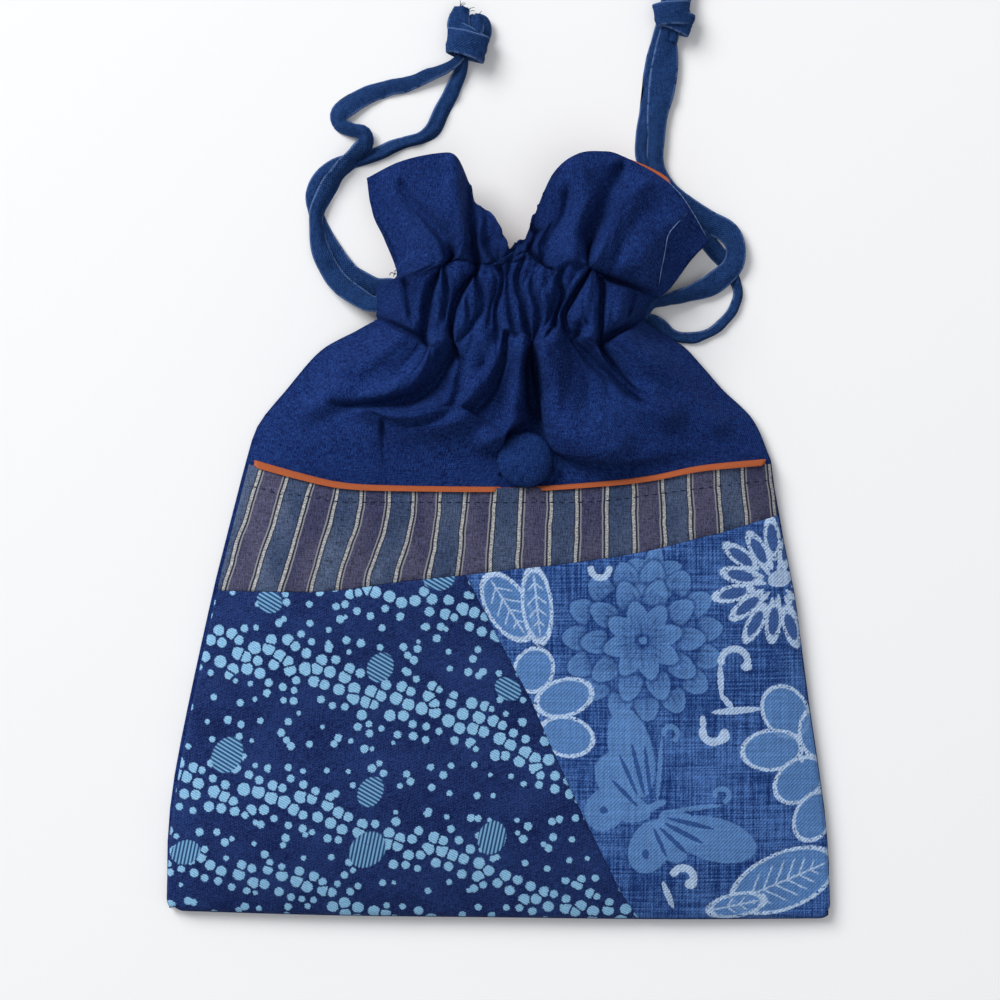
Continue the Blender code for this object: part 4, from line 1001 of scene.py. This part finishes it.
def waves(across, along):
    """Soft unevenness of cloth that lies on a loose lining."""
    return 0.45 * MM * (np.sin(across * 9.0 + along * 4.0) * np.sin(along * 7.3 + 1.0)
                        + 0.5 * np.sin(across * 23.0 - along * 5.0) * np.sin(along * 13.0 + across * 3.0))


def patch_face(across, along):
    """Face of the patches: it dips into the seams and rolls down over the edges."""
    x, y = plan(across, along)
    z = front_floor(across, along) + SEAT * 2 + LINING_CLOTH + PATCH_CLOTH
    side = np.minimum(across, 1 - across) * POCKET_WIDTH
    edge = np.minimum(side, along * POCKET_HEIGHT)
    z = z - 2.6 * MM * np.clip(1 - edge / (1.5 * MM), 0, 1) ** 2
    z = z + waves(across, along) * ease(edge / (12 * MM)) * ease((1 - along) * 8)
    to_band = (along - through(across, BAND_SEAM)) * POCKET_HEIGHT
    pucker = 1 + 0.35 * np.sin(across * 260) + 0.3 * np.sin(across * 97 + 1)
    z = z - 0.5 * MM * pucker * np.exp(-(to_band / (1.0 * MM)) ** 2)
    slant = through(np.clip(along / through(across, BAND_SEAM), 0, 1), SLANT_SEAM)
    to_slant = (across - slant) * POCKET_WIDTH
    return x, y, z - 0.55 * MM * np.exp(-(to_slant / (1.1 * MM)) ** 2) * (to_band < 0)


def patch(name, columns, rows, place, material, node):
    """Piece of patchwork. It is cut to the pocket's own outline, so its print keeps the places in plan."""
    data = cloth_grid(name, columns, rows, place, patch_face, plan)
    piece = finished(name, data, material, node)
    thicken(piece, PATCH_CLOTH)
    return piece


def clamp(value):
    return value.maths("MAXIMUM", 0.0).maths("MINIMUM", 1.0)


def slubbed(look, colour, slub, amount):
    """Colour made lighter and darker by its threads."""
    shade = slub * amount + 1.0
    return look.mix(1.0, colour, look.node("ShaderNodeCombineColor", {}, {"Red": shade, "Green": shade,
                                                                         "Blue": shade}), "MULTIPLY")


# Stripes: a slate and a mauve band in turn, between thick white lines that are woven like a ladder, with
# a thin white line inside each edge of the mauve band. They fan a little, as the pocket narrows upward.
STRIPE_LEFT = (-86.9, 0.219)
STRIPE_RIGHT = (90.7, -0.097)
PAIRS = 9.5
stripes = Look("striped_cotton", 0.9)
across, along = stripes.cut()
weave, slub = plain_weave(stripes, across, along, 0.42)
lean = clamp((-14.0 - across) * 0.025) * (along + 20.0) * 0.1
bend = (along * 0.17 + 0.6).maths("SINE") * across.near(-38.0, 4.0, 22.0) * 1.3
ruck = (stripes.noise(across * 0.05, along * 0.09, 3.0) - 0.5) * 1.6
run = across - lean - bend - ruck
low = along * STRIPE_LEFT[1] + STRIPE_LEFT[0]
high = along * STRIPE_RIGHT[1] + STRIPE_RIGHT[0]
phase = ((run - low) / (high - low) * PAIRS + 21.0).maths("FRACT") * 18.4
mauve = phase.near(9.9 / 2, 9.9 / 2, 0.2)
shade = stripes.noise(across * 0.07, along * 0.03, 2.0).step(0.35, 0.65)
slate = stripes.mix(shade, (0.040, 0.062, 0.128), (0.076, 0.104, 0.180))
colour = stripes.mix(mauve, slate, stripes.mix(shade, (0.046, 0.048, 0.102), (0.076, 0.074, 0.132)))
colour = slubbed(stripes, colour, slub, 3.4)
ladder = stripes.noise(across * 1.0, along * 2.6, 1.0, 1.0).step(0.38, 0.62)
white = stripes.mix(ladder, (0.25, 0.25, 0.25), (0.56, 0.56, 0.55))
for centre in (0.0, 9.9, 18.4):
    colour = stripes.mix(phase.near(centre, 0.72, 0.3) * 0.85, colour, (0.012, 0.015, 0.035))
    colour = stripes.mix(phase.near(centre, 0.40, 0.22) * 0.9, colour, white)
for centre in (1.35, 8.55):
    colour = stripes.mix(phase.near(centre + math.copysign(0.35, centre - 4.9), 0.12, 0.2) * 0.7, colour,
                         (0.013, 0.016, 0.035))
    colour = stripes.mix(phase.near(centre, 0.13, 0.2) * 0.75, colour, (0.33, 0.33, 0.34))
striped_cotton = stripes.finish(colour, weave, 0.0002)
patch("stripe_band", np.linspace(0, 1, 401), np.linspace(0, 1, 61), band_place, striped_cotton,
      "pocket_stripe_band")

# Dots: pale blue spots woven into indigo. They crowd together in wavy bands that run down to the right,
# and stand apart between these. A few large hatched ovals lie over them.
DOT_PITCH = 4.5
LONE_PITCH = 7.8
BANDS = ((-31.5, 5.0), (-65.5, 11.0), (-111.5, 8.5), (-137.5, 6.5))
OVALS = ((-74.7, -21.3, 4.4, 3.8, -30), (-38.4, -42.7, 5.2, 4.2, 60), (-88.6, -71.6, 6.4, 5.0, 58),
         (-41.6, -83.2, 5.4, 4.0, 60), (-42.7, -102.2, 6.8, 5.4, 45), (-2.1, -98.2, 5.8, 4.6, 70),
         (-102.6, -103.8, 5.2, 4.0, 20), (-19.3, -13.7, 5.2, 4.0, 0), (3.1, -49.7, 4.6, 3.6, -30))
dotted = Look("dotted_indigo_cotton", 0.9)
across, along = dotted.cut()
weave, slub = plain_weave(dotted, across, along, 0.4)


def turned(x, y, place_x, place_y, degrees):
    """Coordinates about a place, turned by an angle."""
    turn = math.radians(degrees)
    right, up = x - place_x, y - place_y
    return (right * math.cos(turn) + up * math.sin(turn), up * math.cos(turn) - right * math.sin(turn))


def oval(x, y, half_x, half_y):
    """Distance from an oval's middle, 1 on its outline."""
    return ((x / half_x) * (x / half_x) + (y / half_y) * (y / half_y)).maths("SQRT")


def crowding(x, y):
    """1 in the middle of a band of dots and 0 outside the bands."""
    slope = y + x * 0.345 + (x / 8.5).maths("SINE") * 2.2 + (x / 23).maths("SINE") * 1.5
    share = None
    for middle, half in BANDS:
        here = 1 - ((slope - middle) / half).maths("ABSOLUTE")
        share = here if share is None else share.maths("MAXIMUM", here)
    return share.maths("MAXIMUM", 0.0)


def scattered(look, x, y, pitch, scatter, feature="F1"):
    """Cells of about the given pitch, at places that stray from a square net by a given share."""
    spot = look.tree.nodes.new("ShaderNodeTexVoronoi")
    spot.voronoi_dimensions = "2D"
    spot.feature = feature
    spot.inputs["Scale"].default_value = 1.0
    spot.inputs["Randomness"].default_value = scatter
    look.link(look.vector(x / pitch, y / pitch), spot.inputs["Vector"])
    return spot


def cells(look, x, y, pitch, scatter):
    """Distance from a scattered cell's middle, that middle's place and a random share for each cell."""
    spot = scattered(look, x, y, pitch, scatter)
    middle_x, middle_y, _ = look.parts(Value(look, spot.outputs["Position"]))
    shade = look.tree.nodes.new("ShaderNodeSeparateColor")
    look.link(Value(look, spot.outputs["Color"]), shade.inputs[0])
    return (Value(look, spot.outputs["Distance"]) * pitch, middle_x * pitch, middle_y * pitch,
            Value(look, shade.outputs[0]))


def cell_gap(look, x, y, pitch, scatter):
    """Distance to the line between the cells."""
    spot = scattered(look, x, y, pitch, scatter, "DISTANCE_TO_EDGE")
    return Value(look, spot.outputs["Distance"]) * pitch


rough_x = across + (dotted.noise(across * 1.9, along * 1.9) - 0.5) * 1.1
rough_y = along + (dotted.noise(across * 1.9, along * 1.9, 8.0) - 0.5) * 1.1
slant_x, slant_y = rough_x * 0.93 - rough_y * 0.36, rough_y * 0.93 + rough_x * 0.36
away, middle_x, middle_y, chance = cells(dotted, slant_x, slant_y, DOT_PITCH, 0.56)
crowd = crowding(middle_x * 0.93 + middle_y * 0.36, middle_y * 0.93 - middle_x * 0.36)
crowd = crowd + (chance - 0.5) * 0.2
radius = (crowd.maths("MINIMUM", 0.85) * 1.15 + 1.05 + (chance - 0.5) * 0.5) * (crowd > 0.06)
dots = 1 - (away - radius).step(-0.22, 0.12)
dots = dots * cell_gap(dotted, slant_x, slant_y, DOT_PITCH, 0.56).step(0.16, 0.42)
away, middle_x, middle_y, chance = cells(dotted, rough_x + 3.0, rough_y, LONE_PITCH, 0.62)
lone = 1 - (away - (chance * 0.5 + 0.75) * (1 - (crowding(middle_x, middle_y) > 0.02))).step(-0.2, 0.12)
lone = lone * cell_gap(dotted, rough_x + 3.0, rough_y, LONE_PITCH, 0.62).step(0.5, 0.8)
dots = dots.maths("MAXIMUM", lone)
yarn = ((across * 0.55 + along) * 7.5).maths("SINE") * 0.34 + slub * 1.6 + 0.5
light = dotted.mix(clamp(yarn), (0.13, 0.33, 0.57), (0.37, 0.64, 0.87))
faded = dotted.noise(across * 0.06, along * 0.06, 4.0, 3.0)
twill = ((across * 0.5 - along) * 6.5).maths("SINE") * 0.16
ground = dotted.mix(clamp(slub * 3.4 + twill + 0.45 + (faded - 0.5) * 1.2), (0.004, 0.010, 0.060),
                    (0.023, 0.052, 0.190))
colour = dotted.mix(clamp(dots), ground, light)
for place_x, place_y, half_x, half_y, degrees in OVALS:
    x, y = turned(rough_x, rough_y, place_x, place_y, degrees)
    inside = 1 - oval(x, y, half_x, half_y).step(0.93, 1.02)
    x, y = turned(across, along, place_x, place_y, 78 if place_y < -90 else -30)
    hatch = (y * 5.2).maths("SINE").step(-0.3, 0.5)
    colour = dotted.mix(inside, colour, dotted.mix(hatch, (0.02, 0.07, 0.19), (0.19, 0.40, 0.62)))
dotted_cotton = dotted.finish(colour, weave + dots * 0.5, 0.0002)
patch("dot_patch", np.linspace(0, 1, 221), np.linspace(0, 1, 201), dots_place, dotted_cotton,
      "pocket_dot_patch")

# Flowers: slubby blue cotton printed in paler blues with traditional motifs, some of them outlined in
# white: layered chrysanthemums, plum blossom, leaves, a butterfly and curls.
flowered = Look("flowered_blue_cotton", 0.9)
across, along = flowered.cut()
weave, slub = plain_weave(flowered, across, along, 0.62)
print_x = across + (flowered.noise(across * 1.1, along * 1.1) - 0.5) * 1.0
print_y = along + (flowered.noise(across * 1.1, along * 1.1, 8.0) - 0.5) * 1.0
SLATE_INK = (0.105, 0.235, 0.51)
WHITE_INK = (0.44, 0.58, 0.80)
warp = flowered.noise(across * 1.5, along * 0.04, 1.0, 3.0, 0.7)
weft = flowered.noise(across * 0.04, along * 1.5, 6.0, 3.0, 0.7)
yarn = (warp + weft - 1.0) * 2.6 + slub * 1.6
faded = flowered.noise(across * 0.05, along * 0.05, 4.0, 2.0)
colour = flowered.mix(clamp(yarn + (faded - 0.5) * 1.4 + 0.42), (0.009, 0.036, 0.165), (0.070, 0.165, 0.43))


def flower(base, place, rings, ink):
    """Rings of petals round a middle. Each petal is paler at its tip and has dark veins at its foot."""
    x, y = print_x - place[0], print_y - place[1]
    reach = (x * x + y * y).maths("SQRT")
    angle = flowered.maths("ARCTAN2", y, x)
    for radius, half_length, half_width, count, turn in rings:
        sector = (angle * (count / math.tau) + turn).maths("FRACT") - 0.5
        side = sector * (math.tau / count) * reach
        ahead = reach - radius + side * side * 0.09
        shape = oval(ahead, side, half_length, half_width)
        base = flowered.mix(shape.near(1.0, 0.1, 0.14) * 0.5, base, (0.012, 0.042, 0.18))
        share = clamp(ahead / half_length * 0.3 + 0.62)
        veins = (side * 3.2).maths("COSINE").step(0.55, 0.9) * (1 - (ahead / half_length).step(-0.1, 0.5))
        base = flowered.mix((1 - shape.step(0.88, 1.0)) * share * (1 - veins * 0.55), base, ink)
    return base


drawn = Motif("petal", ("X", "Y", "Turn", "Half length", "Half width", "Ink share", "Edge share",
                        "Vein share"), ("Base", "Ink", "Edge"))
x, y = drawn.given["X"], drawn.given["Y"]
turn = drawn.given["Turn"]
cosine, sine = turn.maths("COSINE"), turn.maths("SINE")
right, up = x * cosine + y * sine, y * cosine - x * sine
half_length, half_width = drawn.given["Half length"], drawn.given["Half width"]
reach = oval(right, up, half_length, half_width)
colour_in = drawn.mix((1 - reach.step(0.92, 1.0)) * drawn.given["Ink share"], drawn.given["Base"],
                      drawn.given["Ink"])
side = up.maths("ABSOLUTE")
branch = ((right - side * 0.9) * 1.5).maths("SINE").step(0.72, 0.95) * (1 - reach.step(0.6, 0.75))
middle = (1 - side.step(0.2, 0.45)) * (1 - reach.step(0.75, 0.9))
colour_in = drawn.mix((branch + middle).maths("MINIMUM", 1.0) * drawn.given["Vein share"], colour_in,
                      drawn.given["Edge"])
rim = 1 - ((reach - 1.0) * half_width).maths("ABSOLUTE").step(0.38, 0.72)
PETAL = drawn.finish(drawn.mix(rim * drawn.given["Edge share"], colour_in, drawn.given["Edge"]))
worn = flowered.noise(print_x * 1.2, print_y * 1.2, 2.0).step(0.34, 0.46)


def petal(base, place, half, degrees, ink, outline=None, veins=False):
    """Oval petal or leaf. It may have a worn outline, and veins that branch from its middle."""
    return flowered.node("ShaderNodeGroup", {"node_tree": PETAL}, {
        "X": print_x - place[0], "Y": print_y - place[1], "Turn": math.radians(degrees),
        "Half length": half[0], "Half width": half[1], "Ink share": 0.85,
        "Edge share": 0.0 if outline is None else worn, "Vein share": 0.8 if veins else 0.0,
        "Base": base, "Ink": ink, "Edge": outline or ink})


def curl(base, place, radius, width, start, end, ink):
    """Arc between two angles in degrees, with a round end."""
    x, y = print_x - place[0], print_y - place[1]
    reach = (x * x + y * y).maths("SQRT")
    angle = flowered.maths("ARCTAN2", y, x) * (180 / math.pi)
    middle, half = (start + end) / 2, (end - start) / 2
    arc = reach.near(radius, width / 2, 0.3) * angle.near(middle, half, 6.0)
    base = flowered.mix(arc * 0.9, base, ink)
    for degrees in (start, end):
        tip = math.radians(degrees)
        x_tip, y_tip = place[0] + radius * math.cos(tip), place[1] + radius * math.sin(tip)
        spot = oval(print_x - x_tip, print_y - y_tip, width * 0.62, width * 0.62)
        base = flowered.mix((1 - spot.step(0.8, 1.1)) * 0.9, base, ink)
    return base


# layered flower in the middle, with a small one that peeps out above it
colour = flower(colour, (50.5, -12.0), ((4.6, 5.0, 3.4, 5, 0.3),), SLATE_INK)
colour = flower(colour, (47.0, -34.0), ((22.6, 4.0, 4.4, 15, 0.1), (16.0, 4.6, 4.2, 10, 0.45),
                                        (7.8, 5.6, 4.2, 8, 0.2)), SLATE_INK)
colour = petal(colour, (47.0, -34.0), (1.3, 1.3), 0, SLATE_INK)
# butterfly
SHADOW = (0.018, 0.060, 0.235)
for place, half, degrees in (((43.2, -70.6), (15.6, 7.4), 103), ((38.2, -79.0), (9.0, 6.4), 118),
                             ((70.6, -99.0), (14.6, 7.4), -16), ((34.6, -89.0), (7.4, 6.6), 60),
                             ((41.6, -88.4), (8.4, 4.6), -14), ((49.4, -101.2), (9.6, 7.0), 66),
                             ((60.4, -95.2), (9.6, 5.0), -30), ((55.4, -99.4), (8.4, 5.4), -52)):
    colour = petal(colour, place, half, degrees, SLATE_INK)
for place, half, degrees in (((45.4, -76.0), (9.0, 0.8), 104), ((48.6, -77.0), (9.4, 0.7), 97),
                             ((42.2, -77.6), (7.4, 0.7), 114), ((41.0, -83.6), (6.4, 0.7), 134),
                             ((62.5, -93.6), (8.4, 0.8), -14), ((60.4, -96.8), (7.4, 0.9), -28),
                             ((57.0, -99.2), (6.6, 0.8), -44), ((52.6, -99.8), (5.6, 0.7), -66),
                             ((34.3, -89.2), (1.3, 1.3), 0), ((47.9, -103.6), (1.2, 1.7), 0)):
    colour = petal(colour, place, half, degrees, SHADOW)
for place, half, degrees in (((49.7, -88.3), (5.6, 1.3), 24), ((52.4, -76.0), (11.0, 0.8), 86),
                             ((64.0, -88.6), (9.5, 0.8), 6)):
    colour = petal(colour, place, half, degrees, SLATE_INK)
# plum blossoms
for place, half, degrees in (((11.4, -43.6), (7.2, 6.2), 66), ((21.4, -52.6), (9.2, 5.8), 16),
                             ((22.0, -65.2), (8.8, 6.2), -12), ((94.0, -57.6), (9.0, 7.2), -52),
                             ((89.4, -70.0), (9.8, 6.4), 4), ((98.6, -80.0), (9.0, 6.6), 34),
                             ((104.4, -65.0), (8.0, 5.6), 100), ((103.5, -92.0), (8.4, 6.2), 60)):
    colour = petal(colour, place, half, degrees, SLATE_INK, WHITE_INK)
for place in ((9.4, -53.0), (11.6, -55.4), (9.0, -56.6), (12.6, -58.6), (14.0, -61.2),
              (100.0, -70.0), (101.5, -72.2), (99.4, -73.6)):
    colour = petal(colour, place, (0.8, 0.8), 0, WHITE_INK)
# outlined flower near the right edge
for step in range(15):
    angle = step * 24
    turn = math.radians(angle)
    reach = 12.4 if step % 2 else 15.0
    place = (91.3 + reach * math.cos(turn), -15.6 + reach * math.sin(turn))
    colour = petal(colour, place, (6.0, 2.3), angle, (0.05, 0.11, 0.31), WHITE_INK)
    place = (91.3 + reach * 0.5 * math.cos(turn + 0.2), -15.6 + reach * 0.5 * math.sin(turn + 0.2))
    colour = petal(colour, place, (2.8, 0.7), angle + 11, WHITE_INK)
colour = petal(colour, (92.3, -14.0), (4.4, 2.9), 15, WHITE_INK)
# leaves
for place, half, degrees in (((3.0, -23.0), (12.0, 6.5), -58), ((12.5, -22.5), (12.0, 4.6), -84),
                             ((93.5, -113.0), (18.0, 9.2), 22), ((78.0, -121.0), (9.0, 3.8), 12)):
    colour = petal(colour, place, half, degrees, SLATE_INK, WHITE_INK, veins=True)
# curls, with their stems
for place, radius, width, start, end, ink in (((76.9, -41.2), 4.4, 1.9, -15, 178, WHITE_INK),
                                              ((70.1, -63.6), 3.6, 2.2, -178, -8, WHITE_INK),
                                              ((60.2, -111.6), 3.4, 2.2, -45, 150, WHITE_INK),
                                              ((33.0, -10.5), 3.0, 1.8, -178, -5, WHITE_INK),
                                              ((56.0, -64.4), 2.3, 1.3, -60, 178, SLATE_INK),
                                              ((72.8, -84.6), 2.3, 1.3, -60, 178, SLATE_INK)):
    colour = curl(colour, place, radius, width, start, end, ink)
for place, half, degrees in (((80.9, -42.6), (1.9, 1.6), 0), ((72.4, -47.0), (5.8, 1.05), 93),
                             ((74.4, -54.0), (3.4, 1.05), -48), ((77.6, -57.0), (8.4, 1.2), 4),
                             ((66.6, -60.9), (2.6, 1.1), 92), ((73.4, -65.6), (2.2, 1.9), 30),
                             ((62.8, -113.6), (2.1, 1.8), 0), ((55.4, -117.4), (5.2, 1.1), -68)):
    colour = petal(colour, place, half, degrees, WHITE_INK)
colour = slubbed(flowered, colour, yarn, 0.3)
flowered_cotton = flowered.finish(colour, weave, 0.0003)
patch("flower_patch", np.linspace(0, 1, 201), np.linspace(0, 1, 221), flowers_place, flowered_cotton,
      "pocket_floral_patch")


# The pocket's orange lining: a flat sheet, and the roll over the top edge as the last rows of its grid.
ROLL = 9


def pocket_lining_place(column, row):
    return 0.012 + column * 0.976, row


def pocket_lining_face(across, row):
    along = np.minimum(row, 1.0)
    turn = np.clip(row - 1, 0, 1) * math.pi * 1.15
    share = rim_share(across) * ease((across - 0.012) / 0.01) * ease((0.988 - across) / 0.01)
    radius = RIM * 0.42 * (0.35 + 0.65 * share)
    radius = radius * table(across, (0.0, 1.0), (0.4, 0.78), (0.6, 0.68), (1.0, 0.9))
    roll = np.sin(turn) * radius - (1 - np.cos(turn)) * radius * share
    x, y = plan(across, 0.012 + 0.988 * along + roll)
    z = patch_face(across, np.minimum(along, 0.985))[2] - PATCH_CLOTH - 0.4 * MM
    lift = (PATCH_CLOTH + RIM_RISE * 2) * share * (0.94 + 0.08 * np.sin(across * 61 + 2))
    return x, y, z + (1 - np.cos(np.minimum(turn, math.pi))) / 2 * lift


rows = np.concatenate([np.linspace(0, 0.999, 30), 1 + np.linspace(0, 1, ROLL + 1)[1:]])
data = cloth_grid("pocket_lining", np.linspace(0, 1, 301), rows, pocket_lining_place, pocket_lining_face)
pocket_lining = finished("pocket_lining_cloth", data, orange_cotton, "pocket_lining")
thicken(pocket_lining, LINING_CLOTH)

# One row of dark stitches holds the stripes down to the rim, about 5 mm below the edge.
STITCH_LINE = ((-81.0, 16.2), (-76.7, 15.2), (-70.8, 13.5), (-64.5, 13.3), (-52.3, 11.2), (-32.5, 11.0),
               (10.4, 10.9), (33.5, 11.4), (63.2, 15.2), (88.6, 18.2))
STITCH = 3.0 * MM
fine_x, fine_y = np.meshgrid(np.linspace(0, 1, 161), np.linspace(0.8, 1.0, 61))
near_x, near_y, near_z = patch_face(fine_x, fine_y)


def band_height(x, y):
    """Height of the stripes' face at a place in plan."""
    return float(near_z.flat[np.argmin((near_x - x) ** 2 + (near_y - y) ** 2)])


def stitches(name, line, height, pitch, length, radius):
    """Row of short sewn threads that sink into the cloth at both ends."""
    reach = np.concatenate([[0], np.cumsum(np.linalg.norm(np.diff(np.array(line) * MM, axis=0), axis=1))])
    count = int(reach[-1] / pitch)
    track = smooth([(x * MM, y * MM, 0) for x, y in line], (np.arange(count) + 0.5) / count)
    ahead = np.gradient(track, axis=0)
    mesh = bmesh.new()
    for place, way in zip(track, ahead):
        part = bmesh.ops.create_icosphere(mesh, subdivisions=1, radius=1)["verts"]
        turn = math.atan2(way[1], way[0]) + random.uniform(-0.06, 0.06)
        base = height(place[0], place[1])
        for vert in part:
            along, side, up = vert.co.x * length / 2, vert.co.y * radius, vert.co.z * radius * 0.8
            vert.co = (place[0] + along * math.cos(turn) - side * math.sin(turn),
                       place[1] + along * math.sin(turn) + side * math.cos(turn),
                       base + up + radius * 0.2 - radius * (along * 2 / length) ** 4)
    data = mesh_data(name, mesh)
    keep_cut(data, *point_places(data).T[:2])
    return finished(name, data, navy_thread)


random.seed(7)
stitches("topstitch", STITCH_LINE, band_height, STITCH, 2.4 * MM, 0.22 * MM)

# The covered button: navy linen drawn over a domed shell and gathered in beneath it.
BUTTON_RADIUS = 9.0 * MM
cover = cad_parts["button_cover"]
cover_box = [cover.matrix_world @ Vector(corner) for corner in cover.bound_box]
cover_low, cover_high = min(corner.z for corner in cover_box), max(corner.z for corner in cover_box)
mesh = bmesh.new()
dome = [(0.0, 1.0), (0.12, 0.995), (0.25, 0.98), (0.38, 0.955), (0.5, 0.92), (0.62, 0.87), (0.72, 0.81),
        (0.81, 0.73), (0.89, 0.62), (0.95, 0.48), (0.985, 0.34), (1.0, 0.2), (0.985, 0.08), (0.94, 0.02),
        (0.85, 0.0), (0.5, 0.0)]
spine = [mesh.verts.new((reach * BUTTON_RADIUS, 0, cover_low + rise * (cover_high - cover_low)))
         for reach, rise in dome]
edges = [mesh.edges.new(pair) for pair in zip(spine, spine[1:])]
bmesh.ops.spin(mesh, geom=spine + edges, angle=math.tau, steps=96, axis=(0, 0, 1), cent=(0, 0, 0),
               use_merge=True)
bmesh.ops.remove_doubles(mesh, verts=mesh.verts, dist=1e-7)
bmesh.ops.recalc_face_normals(mesh, faces=mesh.faces)
for vert in mesh.verts:
    reach = math.hypot(vert.co.x, vert.co.y) / BUTTON_RADIUS
    angle = math.atan2(vert.co.y, vert.co.x)
    tuck = 1 + 0.012 * max(0.0, reach - 0.8) * 5 * math.sin(angle * 22 + math.sin(angle * 5))
    vert.co = (BUTTON_PLACE[0] * MM + vert.co.x * tuck, BUTTON_PLACE[1] * MM + vert.co.y * tuck,
               vert.co.z)
button_data = mesh_data("button", mesh)
keep_cut(button_data, *point_places(button_data).T[:2])
button_linen = navy_linen("button_linen", (0.003, 0.012, 0.075), (0.019, 0.060, 0.230))
button = finished("button_cloth", button_data, button_linen, "button_cover")

# The button's shell and back plate are pressed steel, hidden under its cloth.
steel = Look("button_steel", 0.35, 1.0)
steel.shader.inputs["Base Color"].default_value = (0.6, 0.6, 0.62, 1)
for node in ("button_shell", "button_back"):
    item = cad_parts[node]
    item.data.materials.clear()
    item.data.materials.append(steel.material)

bpy.context.view_layer.update()
